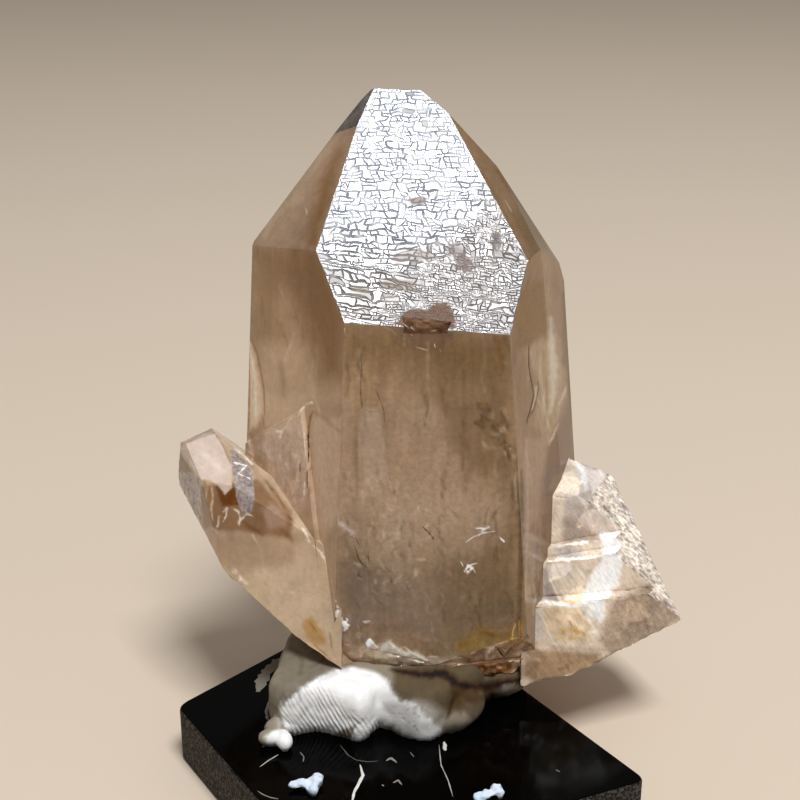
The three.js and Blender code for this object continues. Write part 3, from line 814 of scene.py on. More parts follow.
LEFT_PRISM_MARKS = [
    # The dark marks at the top right of this face, fading down and to the left, are painted shade.
    blot("664a2f", 0.25, 0.85, 5.5, 0, (-12.5, 18.8), (-10.2, 18.8), (-7.1, 10.2), (-7.5, 3), (-9.2, 3.5),
        (-11.5, 11.2)),
    stroke("795d41", 2.5, 0.5, 6.25, 0, (-14.4, 18.1), (-11.9, 10), (-10.2, 3.5)),
    blot("866a4c", 0.5, 0.5, 2.5, 0, (-18, 18.8), (-15.6, 18.8), (-14.4, 7.5), (-17.8, 7.5)),
    blot("745b44", 0.5, 0.6, 5, 0, (-17.2, 18.1), (-11, 18.1), (-9.8, 12.5), (-15.6, 14.4)),
    blot("b69b80", 0.38, 0.8, 1.25, 0, (-17.2, 0.6), (-12, 0.6), (-12, -4), (-16.8, -4.2)),
    blot("ab9074", 0.75, 0.65, 2.5, 0, (-17.2, 6.9), (-11.9, 6.2), (-10.6, 0), (-16.2, -2.5)),
    blot("b39a86", 0.38, 0.65, 1.25, 0, (-17, -4.4), (-12.5, -2.5), (-11.6, -5), (-11.8, -12.5),
        (-13.5, -15), (-16.2, -10), mottle=0.5),
    blot("ac9179", 0.5, 0.75, 1.25, 0, (-10.6, -2.5), (-7.5, -2.5), (-6.9, -12.5), (-9.8, -17.5),
        (-10.8, -15)),
    blot("c6a98c", 0.12, 0.9, 0.62, 0.15, (-19, 7.5), (-18.5, 7), (-18, 4.8), (-17.5, 1.9), (-17.2, -0.6),
        (-17.5, -2.2), (-18.1, -3.5), (-18.9, -4), frost=0.8),
    stroke("ecd6bf", 0.2, 0.8, 0.38, 0, (-18.6, 5.5), (-18.1, 2.5), (-18, -2.5)),
    stroke("7d6248", 0.18, 0.85, 0.25, 0, (-18.6, 7.5), (-17.9, 6), (-17.4, 3.8), (-17, 1.2),
        (-16.9, -2)),
    stroke("6e543d", 0.18, 0.7, 0.19, 0, (-18.9, 6.2), (-18.8, 2.5), (-18.9, -3.8)),
    stroke("6f573f", 0.2, 0.7, 0.25, 0, (-17.1, -2), (-17, -3.5)),
    stroke("7f6a52", 0.88, 0.7, 0.88, 0, (-14.9, 4.5), (-14.6, 2.5), (-14.6, 0.4)),
    stroke("9c8674", 1.5, 0.55, 1, 0.5, (-18, -3.8), (-17.2, -6.9), (-16.5, -9.8), mottle=0.5),
    stroke("c4b1a0", 0.88, 0.7, 0.62, 0.38, (-18.8, -5), (-18.5, -7.5), mottle=0.7),
    stroke("cdb79e", 0.21, 0.85, 0.25, 0.12, (-11, -0.3), (-11.6, -0.5), (-12.2, -1), (-12.6, -1.6),
        (-12.8, -2.5)),
    stroke("c4ac92", 0.23, 0.8, 0.25, 0.12, (-12.8, -2.2), (-13.4, -2), (-13.9, -2.6), (-14.2, -3.4),
        (-15, -4)),
    stroke("cdb8a0", 0.38, 0.85, 0.25, 0.25, (-14.6, -3.9), (-15, -4.5), (-15.2, -5.4)),
    stroke("e6d6c2", 0.5, 0.9, 0.25, 0.12, (-15.4, -3.9), (-14.8, -4)),
    stroke("c2ab93", 0.21, 0.7, 0.25, 0.12, (-15, -4), (-16, -4.2), (-16.8, -4.1)),
    stroke("e9d9c6", 0.25, 0.9, 0.12, 0, (-11.1, -0.2), (-10.9, -0.4)),
    stroke("5a4431", 0.25, 0.8, 0.25, 0, (-10.9, -1.4), (-11.2, -2.2), (-11.4, -3.5)),
    stroke("2e2117", 0.2, 1, 0.1, 0, (-11.4, -3.5), (-11.5, -5), (-11.4, -6.5), (-11.4, -7.8),
        lift=-0.08),
    stroke("4f3c2c", 0.17, 0.85, 0.1, 0, (-11.6, -8.8), (-11.6, -11)),
    stroke("c4ad94", 0.14, 0.7, 0.1, 0, (-11.9, -3.8), (-11.9, -7.8)),
    stroke("d8c6b4", 0.38, 0.8, 0.25, 0.12, (-11.9, -10), (-12, -12)),
    stroke("3d2c1e", 0.23, 0.9, 0.12, 0, (-12.5, -8), (-12.5, -8.9)),
    stroke("7f6850", 0.5, 0.6, 0.62, 0, (-10.8, -1.5), (-9.5, -2.2), (-8.2, -3.4), (-7.2, -4.2)),
    stroke("8a7058", 0.75, 0.5, 0.75, 0.38, (-13.8, -6.5), (-13.2, -8.1), (-13.4, -9.8)),
    stroke("b5a08d", 0.38, 0.5, 0.5, 0.25, (-15.2, -6.2), (-14.5, -8.8)),
    stroke("a88d72", 1.25, 0.4, 1.25, 0, (-9.8, -0.2), (-8, 0.5)),
]

CROWN_MARKS = [
    blot("765a3c", 0.5, 0.75, 2.75, 0, (-7.5, 31.2), (-8.8, 25), (-10.5, 18.8), (-11.9, 18.8),
        (-9.8, 27.5)),
    blot("b69c80", 0.38, 0.55, 2.25, 0, (-17.2, 24.4), (-10, 31.9), (-8.8, 32.5), (-12.5, 26.2),
        (-17.2, 20.6)),
    stroke("a58a6d", 0.38, 0.5, 1, 0, (-17.8, 23.1), (-17.2, 21), (-12.5, 19.6), (-10.8, 18.8)),
    stroke("c9b294", 0.14, 0.8, 0.1, 0, (-11.8, 24), (-11.6, 23.2)),
    stroke("dccab4", 0.23, 0.7, 0.19, 0.12, (-18, 22.2), (-17.6, 21.5)),
    stroke("6d5337", 0.75, 0.6, 1, 0, (12.1, 28.8), (16.2, 23.1), (18.1, 19.4)),
    stroke("a2876a", 0.62, 0.5, 0.88, 0, (8.8, 31.2), (12.5, 25.6), (16, 18.1)),
    stroke("4d3a28", 0.2, 0.9, 0.1, 0, (17.9, 15), (18.8, 14.5)),
    stroke("cbb79c", 0.16, 0.6, 0.1, 0, (13.1, 25), (14, 23.5)),
]

LEFT_CRYSTAL_MARKS = [
    blot("bda489", 0.5, 0.7, 2.5, 0, (-20, -18.1), (-11.9, -15), (-9.4, -25), (-8.1, -30), (-11.9, -30),
        (-17.2, -25)),
    blot("9c8269", 0.75, 0.75, 2.25, 0, (-24.4, -18.1), (-18.1, -16.2), (-12.5, -16.9), (-13.8, -20),
        (-20, -21.2)),
    stroke("9f8a72", 1, 0.6, 1, 0, (-24.2, -18.5), (-21.8, -21.9)),
    stroke("d6c2a8", 0.23, 0.8, 0.25, 0.12, (-25, -18.1), (-21, -22.5), (-17.2, -26.5), (-12.5, -30)),
    stroke("e6d3bd", 1, 0.8, 0.5, 0.38, (-20.5, -21.5), (-19.2, -23)),
    blot("7d6048", 0.25, 0.85, 0.75, 0, (-25, -10.9), (-17.8, -10), (-13.5, -15), (-13.8, -17.2),
        (-20, -16.2), (-24.4, -16.2)),
    blot("6b4b33", 0.12, 0.9, 0.38, 0, (-23, -10.8), (-20.5, -10.8), (-20, -13.1), (-22.2, -13.2)),
    stroke("6b4a30", 0.62, 0.8, 0.5, 0, (-16.8, -10.1), (-15.5, -11.8), (-13.8, -14.2), (-13.5, -15.6)),
    blot("9f8573", 0.5, 0.75, 0.75, 0, (-17, -13.8), (-16, -13.2), (-14.9, -14.1), (-14.5, -15.5),
        (-16.2, -15.9)),
    stroke("8c7258", 1.5, 0.6, 0.75, 0, (-18.1, -10.6), (-17.2, -10.8)),
    stroke("97826a", 1.12, 0.8, 0.5, 0, (-19.1, -7.8), (-18, -8.8), (-17.2, -10)),
    stroke("775a42", 1, 0.8, 0.75, 0, (-14.8, -16.2), (-13.5, -17.5)),
    stroke("694830", 0.88, 0.7, 0.62, 0, (-20, -15), (-17.2, -16.9)),
    stroke("8c7359", 0.62, 0.8, 0.5, 0, (-24.5, -10), (-24, -12.5), (-24.2, -16)),
    # The pale top face of the small crystal, in this blot and the three strokes after it: partly its
    # frosted skin, partly painted light from above.
    blot("bfab9b", 0.06, 1, 0.19, 0.12, (-27.4, -6), (-24.5, -4.2), (-23.2, -4.1), (-22.2, -5.9),
        (-21.1, -8.2), (-21, -10.9), (-21.9, -11.8), (-22.6, -10.8), (-23.5, -10.1), (-25, -9.8),
        (-25.5, -9.4), frost=0.85),
    stroke("c7b3a3", 0.38, 0.7, 0.38, 0, (-27.1, -6.1), (-24.4, -4.5), (-23.2, -4.5)),
    stroke("dcc9ba", 0.38, 0.8, 0.25, 0, (-26.2, -7.5), (-25.5, -9)),
    stroke("ddc9b9", 1.75, 0.5, 1.25, 0, (-24.4, -6.9), (-22.2, -8.8)),
    stroke("c2a98f", 0.5, 0.7, 0.38, 0.25, (-22, -10), (-21.4, -11.5)),
    blot("857061", 0.12, 0.9, 0.25, 0, (-28.1, -5), (-27.8, -6.2), (-26, -9), (-28, -8.9)),
    stroke("efe4d3", 0.14, 0.9, 0.1, 0, (-28.2, -5), (-28.2, -9)),
    stroke("8e7a6c", 0.2, 0.9, 0.19, 0, (-23.2, -4.1), (-22.2, -5.5), (-21.2, -7.8)),
    blot("9d9189", 0.06, 1, 0.19, 0.12, (-28, -9.2), (-27, -9), (-25, -9.9), (-24.9, -16.4),
        (-25.8, -16.6), (-27, -15), (-28, -13.1), mottle=1, frost=0.85),
    blot("91857e", 0.06, 1, 0.19, 0.12, (-21.1, -6.2), (-19.6, -7.4), (-18.5, -9), (-18.2, -12.5),
        (-18.6, -14.1), (-19.6, -14.4), (-20.4, -12.1), (-20.9, -8.8), mottle=1, frost=0.85),
    stroke("e9e2da", 0.16, 0.8, 0.12, 0.12, (-20.9, -7.8), (-19.2, -8.2), (-20.2, -9.2), (-18.8, -9.8)),
    stroke("d8cfc6", 0.38, 0.8, 0.25, 0.12, (-20.8, -5.9), (-19.5, -6.9), (-18.5, -8), mottle=0.6),
    stroke("ab998b", 0.5, 0.7, 0.38, 0.38, (-25, -16.4), (-23.8, -16.1), (-22.2, -16.8), mottle=0.8),
    stroke("dccfbf", 0.21, 0.9, 0.19, 0.12, (-22.1, -14), (-21.6, -13.5), (-21.8, -14.6), (-22.1, -15.2)),
    stroke("d9cab8", 0.23, 0.9, 0.19, 0.12, (-21, -13.5), (-20.2, -13.9), (-20, -14.8), (-20.2, -15.8)),
    stroke("e4d5c2", 0.21, 0.9, 0.19, 0.12, (-20, -15.1), (-19.1, -14.2), (-18.2, -14.6)),
    stroke("cbb8a3", 0.23, 0.9, 0.19, 0.12, (-22.6, -14.5), (-22.9, -16.2)),
    stroke("c9b49c", 0.23, 0.8, 0.25, 0.12, (-23.6, -10.5), (-23.4, -12.1), (-23.6, -13.8), (-23.4, -15)),
    stroke("b9a389", 0.18, 0.7, 0.19, 0, (-24.2, -10.8), (-24.2, -12.5)),
    stroke("d9c4ab", 0.18, 0.8, 0.19, 0, (-18.5, -16.8), (-17.9, -17.8)),
    stroke("e6d5c2", 0.23, 0.9, 0.19, 0.12, (-12.2, -16), (-11.6, -17), (-11.2, -18)),
    stroke("dcc9b4", 0.25, 0.9, 0.19, 0.19, (-10.9, -18.2), (-10, -18.9), (-9.2, -20.1), (-8.9, -21.6)),
    stroke("f0e4d6", 0.38, 0.9, 0.12, 0, (-10.1, -19.1), (-9.5, -19)),
    stroke("d3bfa8", 0.21, 0.9, 0.19, 0.12, (-8.9, -21.9), (-8.4, -23.8), (-8.1, -26.5)),
    stroke("a98f76", 0.5, 0.6, 0.38, 0, (-10, -19.5), (-9.6, -21)),
    blot("a17c4a", 0.12, 0.85, 0.75, 0.25, (-12.1, -27.5), (-11, -27.2), (-9.8, -28.8), (-9.2, -30.4),
        (-10.5, -30.6), (-11.8, -29.5)),
    stroke("7d5824", 0.44, 0.85, 0.38, 0, (-11.1, -28), (-10.5, -29)),
    stroke("93703e", 0.5, 0.6, 0.5, 0, (-10.2, -29.5), (-9.5, -30.2)),
    stroke("c9ab83", 0.38, 0.8, 0.25, 0, (-12.1, -30.1), (-10.9, -30.8), (-9.8, -31.9), (-8.9, -33)),
    stroke("84653f", 0.2, 0.8, 0.25, 0, (-10.8, -30.5), (-9.2, -31.9), (-8.6, -32.5)),
    stroke("8d6f4c", 0.38, 0.7, 0.25, 0, (-8.8, -29), (-8.5, -31.2)),
]

STEPPED_MARKS = [
    blot("cdc3ba", 0.38, 0.85, 1, 0, (21.8, -6.9), (26, -8.9), (27.2, -12.5), (25.5, -15), (22.5, -10)),
    blot("b5a79b", 0.25, 0.8, 0.75, 0, (20.6, -12.1), (23.8, -11), (25.5, -14.4), (26.5, -16.5),
        (23.8, -17.6), (20.5, -18), mottle=0.3),
    blot("9a8672", 0.38, 0.65, 1.12, 0, (20.5, -15), (22.5, -15.2), (24.8, -17.5), (20.4, -18.2)),
    stroke("b3a69c", 1.12, 0.7, 0.75, 0, (23.5, -9.8), (24.5, -11.5), (25.5, -13.8), mottle=0.6),
    stroke("efeae8", 1.12, 0.7, 0.75, 0, (22.1, -7.8), (22.8, -9.2), (23.2, -11)),
    stroke("d9cdc2", 0.23, 0.8, 0.25, 0, (20.8, -12.2), (23.8, -11.1)),
    stroke("d9cbbb", 0.16, 0.8, 0.1, 0, (22.2, -16), (22.8, -15.6), (23.1, -16)),
    stroke("d5cbc3", 0.21, 0.6, 0.38, 0.25, (23.8, -10.2), (25, -13.1), (27, -16.6)),
    stroke("fbf7f2", 0.23, 0.95, 0.25, 0, (21.8, -7), (23.8, -7.5), (25.9, -8.8), (27, -11), frost=0.9),
    stroke("f4ede6", 0.38, 0.9, 0.25, 0.12, (26.5, -15), (27.4, -16.8)),
    stroke("ecdfce", 0.38, 0.9, 0.19, 0.07, (19.8, -18.2), (25, -17.6)),
    blot("b3aaa2", 0.19, 0.85, 0.38, 0, (19.5, -18.6), (22.2, -18.5), (22.5, -19.6), (20, -19.6),
        mottle=0.3),
    blot("d6c6b2", 0.19, 0.85, 0.38, 0, (22.8, -18.1), (25.5, -17.8), (25.8, -19.5), (23, -19.5)),
    stroke("f1e7d8", 0.44, 0.95, 0.19, 0.07, (18.5, -20.1), (21.9, -19.8), (25.6, -19.5)),
    blot("d9c8b1", 0.19, 0.85, 0.38, 0, (18.6, -20.8), (22.2, -20.5), (23.4, -22.5), (23.8, -25),
        (19, -25.2)),
    blot("cbbfb2", 0.12, 0.8, 0.31, 0, (18.6, -20.8), (21.2, -20.6), (21.5, -22), (18.6, -22.1)),
    blot("a3968a", 0.12, 0.85, 0.38, 0, (17.1, -21.5), (18.4, -20.8), (18.6, -22.5), (19.8, -25.2),
        (17, -25.5)),
    stroke("efe2cf", 0.18, 0.9, 0.19, 0, (18.6, -22.1), (19.5, -24), (20.2, -25.4)),
    stroke("efe3d2", 0.18, 0.7, 0.25, 0, (22, -20.8), (23, -22.2), (23.5, -24)),
    stroke("d99b6a", 0.45, 0.85, 0.31, 0.12, (20, -25.1), (21.8, -25.2), (22.8, -24.9)),
    stroke("e8bd96", 0.75, 0.7, 0.62, 0, (21.9, -23.8), (22.8, -25)),
    # The brightest zone of the stepped mass: its own whitish etch with painted sunlight on it.
    blot("fdf6e8", 0.25, 1, 0.62, 0.19, (25.2, -16.8), (27.4, -16.6), (27.5, -18.2), (27.8, -20),
        (27.1, -23), (25.5, -25), (25.2, -27.5), (23.5, -27.2), (23, -25), (24, -21.9), (25.5, -20),
        (25.5, -18.5), frost=0.95),
    stroke("ffffff", 0.38, 0.95, 0.19, 0, (25, -16.8), (27.4, -16.6), frost=0.95),
    stroke("fffaf0", 1.5, 0.95, 0.75, 0.25, (23.8, -22.5), (24.5, -25), (25.2, -27.2), frost=0.95),
    stroke("f3e6d4", 0.56, 0.95, 0.25, 0.12, (17, -25.5), (18.2, -25.2), (19.8, -25.5), (21.9, -25.8),
        (24, -25.1)),
    blot("b7aca0", 0.12, 0.85, 0.38, 0, (15.8, -26.8), (16.9, -25.9), (17.6, -26.5), (17.9, -28.8),
        (17.6, -30), (15.8, -29.8)),
    blot("c8ad8b", 0.25, 0.8, 0.88, 0, (18.1, -26.2), (20.2, -26), (22.5, -26.2), (24, -28.1),
        (23.2, -30), (19.5, -30), (18.2, -28.5)),
    stroke("d8ccbd", 0.2, 0.7, 0.25, 0, (17.2, -26.2), (18.1, -27.8), (19, -30)),
    stroke("efdcc2", 0.38, 0.8, 0.38, 0.25, (20.8, -26.9), (21.8, -27.8), (23.2, -29), (24.8, -29.1)),
    stroke("f1e2cf", 1, 0.7, 0.75, 0, (22.5, -26.2), (23.8, -27.5), (24.5, -29)),
    stroke("a8812a", 0.75, 0.9, 0.62, 0.38, (20.2, -29), (21.8, -28.8), (23, -29.2)),
    stroke("6d4a18", 0.18, 0.9, 0.19, 0, (21.1, -27.6), (21.6, -28.4)),
    stroke("a58d58", 0.5, 0.6, 0.5, 0.25, (19.5, -30), (21.2, -29.8), (23.2, -30)),
    stroke("a68e74", 0.5, 0.7, 0.62, 0, (15.8, -30.2), (17.5, -30.5), (20, -31), (25.5, -31.2)),
    blot("896e51", 0.38, 0.9, 1, 0, (15.8, -31.2), (25, -31.9), (23.8, -33.5), (17.5, -35.2),
        (15.5, -34.4), mottle=0.4),
    stroke("a08a76", 1.25, 0.5, 0.75, 0.5, (15.5, -31.9), (17.5, -32.5)),
    blot("95826f", 0.25, 0.9, 1, 0, (25, -30), (27, -25), (31.2, -23.1), (35, -27.1), (30, -30.6),
        (26.2, -31.5), mottle=0.5),
    stroke("c4b4a4", 1, 0.8, 0.5, 0.38, (15, -30.8), (16, -32)),
]

FLANK_MARKS = [
    blot("8f7e72", 0.38, 0.85, 1.25, 0, (26.2, -25), (30, -23.8), (34.5, -26.2), (30, -30), (25.8, -30),
        mottle=0.5),
    stroke("ded2c6", 0.62, 0.7, 0.62, 0.38, (30, -17.2), (31.5, -19.5), (33, -22.2), (34, -25),
        mottle=0.4),
    stroke("cfc0ae", 0.75, 0.7, 0.62, 0.38, (27.8, -18.1), (28.8, -20.6), (28.5, -23.8), mottle=0.4),
    stroke("efe6dc", 0.38, 0.8, 0.38, 0.25, (26, -10), (27.8, -13.1), (30, -16.9)),
]


def scattered(
    area: list[Pair],
    count: int,
    seed: int,
    run: Pair = (0.4, 1.6),
    turn: float = 80.0,
    spread: float = 25.0,
    width: float = 0.2,
    strength: float = 0.5,
    colours: tuple[str, ...] = ("6f5640", "b39a80"),
) -> list[Mark]:
    """Strews short curved scratches and healed cracks over a part of the skin.

    Args:
        area: outline of the part in the front view, in millimetres.
        count: how many marks are strewn.
        seed: start of the random series.
        run: shortest and longest mark, in millimetres.
        turn: mean direction in degrees, 90 being upright.
        spread: how far the directions stray, in degrees.
        width: mean width in millimetres.
        strength: mean strength.
        colours: tones as seen, sRGB hex.

    Returns:
        The marks, none of them alike.
    """
    draw = random.Random(seed)
    inside = Mark(area, 0.1, "000000", 1.0, soft=0.1, filled=True)
    across, upward = [x for x, _ in area], [y for _, y in area]
    marks: list[Mark] = []
    while len(marks) < count:
        x = draw.uniform(min(across), max(across))
        y = draw.uniform(min(upward), max(upward))
        if inside.cover(x, y) < 0.5:
            continue
        angle = math.radians(draw.gauss(turn, spread))
        length = draw.uniform(*run)
        bend = draw.gauss(0, 0.12) * length
        half = (x + length / 2 * math.cos(angle) - bend * math.sin(angle),
                y + length / 2 * math.sin(angle) + bend * math.cos(angle))
        end = (x + length * math.cos(angle), y + length * math.sin(angle))
        marks.append(Mark(
            [(x, y), half, end], width * draw.uniform(0.6, 1.7), draw.choice(colours),
            strength * draw.uniform(0.5, 1.2), soft=width * draw.uniform(0.8, 1.8),
            ragged=width * 0.5,
        ))
    return marks


FRONT_SCRATCHES = (
    scattered([(-8.5, 7), (13, 7), (15, -29), (-7, -29)], 44, 21, (2.0, 6.0), 90, 3,
              0.3, 0.5, ("785e43", "aa9076", "6f563c"))
    + scattered([(-7, -10), (0, -10), (5, -15), (4, -20), (0, -25), (-6.5, -22)], 80, 22,
                (0.4, 1.5), 100, 45, 0.32, 0.6, ("6a523b", "c0a78b", "7b624a", "b59c80"))
    + scattered([(-7, -22), (4, -22), (5, -31), (-6.5, -31)], 56, 23, (0.4, 2.0), 110, 18,
                0.24, 0.5, ("5c4838", "a08a7b", "93796a"))
    + scattered([(4, -14), (14, -14), (14.5, -30), (4, -30)], 50, 24, (0.5, 2.5), 80, 25,
                0.3, 0.6, ("5f452e", "937860"))
    + scattered([(9.5, -1), (14, -1), (14.5, -8), (11, -6)], 26, 25, (0.4, 1.4), 110, 30,
                0.4, 0.95, ("453122", "5a4231", "a1876b"))
)
SIDE_SCRATCHES = (
    scattered([(-18, 18), (-10.5, 17), (-10, -15), (-17, -12)], 26, 26, (1.0, 5.0), 88, 6,
              0.26, 0.6, ("765e47", "b9a189"))
    + scattered([(-16.5, -4), (-11.5, -4), (-11, -14), (-15, -13)], 30, 27, (0.4, 1.6), 80,
                35, 0.28, 0.8, ("705a47", "c4af9b"))
    + scattered([(15.5, 12), (21, 12), (21.5, -12), (16, -30)], 24, 28, (1.0, 5.0), 95, 8,
                0.26, 0.65, ("745f49", "bba58c"))
)
CRYSTAL_SCRATCHES = scattered(
    [(-24, -18), (-14, -16), (-10, -30), (-14, -28)], 20, 29, (0.3, 1.6), -55, 25,
    0.24, 0.7, ("8d735a", "d0bba4"),
)

# Light that a face of the crystals mirrors from the studio.
GLOSS = 0.03


def broken_face(spot: Vector, size: float) -> Pair:
    """Describes uneven little break faces, each tilted in a way of its own.

    Args:
        spot: the place in millimetres.
        size: usual width of a break face in millimetres.

    Returns:
        Height and tone at the spot, both from about -1 to 1.
    """
    place = spot / size
    centre = noise.voronoi(place)[1][0]
    slope = Vector([noise.noise(centre * 5.3 + Vector((start, 7.7, 1.9))) for start in (3, 41, 97)])
    return 1.6 * slope.dot(place - centre) + slope.y, slope.x * 1.5


def part_off(
    bm: bmesh.types.BMesh, faces: list[bmesh.types.BMFace], place: Vector, along: Vector
) -> tuple[list[bmesh.types.BMFace], list[bmesh.types.BMFace]]:
    """Cuts flat faces along a plane.

    Args:
        bm: the mesh.
        faces: the faces to cut.
        place: a point of the plane.
        along: the plane's unit direction.

    Returns:
        The faces before the plane and those beyond it.
    """
    edges = {e for f in faces for e in f.edges}
    verts = {v for f in faces for v in f.verts}
    cut = bmesh.ops.bisect_plane(
        bm, geom=faces + list(edges) + list(verts), dist=1e-7, plane_co=place, plane_no=along
    )
    sides: tuple[list, list] = ([], [])
    for face in {g for g in cut["geom"] if isinstance(g, bmesh.types.BMFace)}:
        sides[(face.calc_center_median() - place).dot(along) > 0].append(face)
    return sides


def gap_to_line(spot: Vector, start: Pair, end: Pair) -> float:
    """Measures how far a flat spot lies from a straight stretch.

    Args:
        spot: the spot.
        start: one end of the stretch.
        end: its other end.

    Returns:
        The distance.
    """
    start, along = Vector(start), Vector(end) - Vector(start)
    share = min(1.0, max(0.0, (spot - start).dot(along) / max(1e-9, along.length_squared)))
    return (spot - start - along * share).length


@dataclass
class ZoneLook:
    """Look of a group of crystal faces, or of putty: tone, soft clouds and marks.

    Attributes:
        colour: the tone that the faces have to the eye, sRGB hex.
        marks: what lies on them, from the lowest to the uppermost.
        step: side of the squares of their mesh, in millimetres.
        frost: share of light that the skin scatters.
        rough: roughness of the clear share.
        mottle: strength of the flecks.
        light: linear colour that a white skin has there in the studio's light.
        through: linear colour of the light that comes through the clear share.
        waves: height of the slow waves of the faces, in millimetres.
        wave_size: width of those waves, in millimetres.
        cloud: strength of the soft clouds of the tone.
        streak: strength of fine streaks where the skin is flecked.
        streak_turn: degrees that the streaks are turned from upright, seen from the front.
        shard: height of the uneven little break faces, in millimetres.
        shard_size: width of those break faces, in millimetres.
        rim: how far the edges between such faces wander, in millimetres.
        brush: strength of slanting hair-fine streaks.
    """

    colour: str
    marks: list[Mark] = field(default_factory=list)
    step: float = 0.0
    frost: float = 0.5
    rough: float = 0.14
    mottle: float = 0.16
    light: Colour = (0.76, 0.71, 0.64)
    through: Colour = (0.21, 0.148, 0.094)
    waves: float = 0.0
    wave_size: float = 3.0
    cloud: float = 0.2
    streak: float = 0.3
    streak_turn: float = 0.0
    shard: float = 0.0
    shard_size: float = 1.6
    rim: float = 0.0
    brush: float = 0.0

    def __post_init__(self) -> None:
        """Works out what every spot needs again."""
        self.tone = linear(self.colour)
        self.near: dict[tuple[int, int], list[tuple[Mark, Colour]]] = {}
        for mark in self.marks:
            left, low, right, high = mark.reach()
            for i in range(math.floor(left), math.floor(right) + 1):
                for j in range(math.floor(low), math.floor(high) + 1):
                    self.near.setdefault((i, j), []).append((mark, linear(mark.colour)))

    def cut(self, bm: bmesh.types.BMesh) -> None:
        """Cuts a mesh that holds one flat face into a square grid.

        Args:
            bm: the mesh.
        """
        if not self.step:
            return
        bm.faces.ensure_lookup_table()
        out = bm.faces[0].normal.copy()
        across = Vector((-out.y, out.x, 0))
        across = across.normalized() if across.length > 1e-3 else Vector((1, 0, 0))
        for along in (across, out.cross(across)):
            rest = list(bm.faces)
            reach = [v.co.dot(along) for v in bm.verts]
            step = self.step * MM
            place, last = min(reach) + step * 0.6, max(reach) - step * 0.3
            while place < last and rest:
                rest = part_off(bm, rest, along * place, along)[1]
                place += step

    def fine_at(self, spot: Vector, size: float) -> bool:
        """Says whether a mark at a spot is too narrow for the mesh squares there.

        Args:
            spot: the place in millimetres.
            size: side of the squares in millimetres.

        Returns:
            Whether the squares need to be smaller.
        """
        x, y = front_place(spot)
        for mark, _ in self.near.get((math.floor(x), math.floor(y)), ()):
            if mark.soft < size * 0.9 and mark.edge_gap(x, y) < size * 0.75:
                return True
        return False

    def skin(self, spot: Vector, patch: int) -> Skin:
        """Returns the finish at a spot.

        Args:
            spot: the place in millimetres.
            patch: number of the plate that it is part of, 0 for none.

        Returns:
            How the spot looks.
        """
        x, y = front_place(spot)
        drift = 1 + self.cloud * grain(Vector((spot.x, spot.y, spot.z * 0.5)), 4.0, 3, 4)
        seen = tuple(value * drift for value in self.tone)
        frost, mottle = self.frost, self.mottle
        lift = self.waves * grain(spot, self.wave_size, 2, 3) if self.waves else 0.0
        for mark, colour in self.near.get((math.floor(x), math.floor(y)), ()):
            cover = mark.cover(x, y)
            if cover > 0:
                seen = blend_colour(seen, colour, cover)
                lift += mark.lift * cover
                mottle = blend(mottle, mark.mottle or self.mottle, cover)
                if mark.frost is not None:
                    frost = blend(frost, mark.frost, cover)
        turn = math.radians(self.streak_turn)
        side = x * math.cos(turn) + y * math.sin(turn)
        run = y * math.cos(turn) - x * math.sin(turn)
        shade = 1 + self.streak * mottle * grain(Vector((side, run * 0.12, 0)), 0.45, 5, 3)
        if self.shard:
            height, tone = broken_face(spot, self.shard_size)
            lift += self.shard * height
            shade *= 1 + 0.3 * tone
        seen = tuple(value * shade for value in seen)
        # The putty and the slab keep light from the foot.
        back = blend(0.5, 1.0, smoothstep(9.0, 26.0, spot.z))
        through = tuple(value * back for value in self.through)
        frost = max(frost, self.frost_for(seen, through))
        paint = self.paint_for(seen, through, frost)
        return Skin(paint, frost, self.rough, mottle, lift, self.brush)

    def frost_for(self, seen: Colour, through: Colour) -> float:
        """Finds the least share of frost with which a tone can be reached.

        Args:
            seen: the tone to the eye.
            through: what comes through the clear share.

        Returns:
            The share, from 0 to 1.
        """
        least = 0.0
        for value, back, light in zip(seen, through, self.light):
            brightest, darkest = 0.95 * light + GLOSS, 0.03 * light + GLOSS
            if value > back:
                least = max(least, (value - back) / max(0.05, brightest - back))
            elif back > darkest:
                least = max(least, (back - value) / (back - darkest))
        return min(1.0, least)

    def paint_for(self, seen: Colour, through: Colour, frost: float) -> Colour:
        """Works out the skin's own colour from the one it has to the eye.

        Args:
            seen: the tone to the eye.
            through: what comes through the clear share.
            frost: the share that the skin scatters.

        Returns:
            The linear colour of the skin.
        """
        return tuple(
            min(0.98, max(0.005, ((value - (1 - frost) * back) / frost - GLOSS) / light))
            for value, back, light in zip(seen, through, self.light)
        )


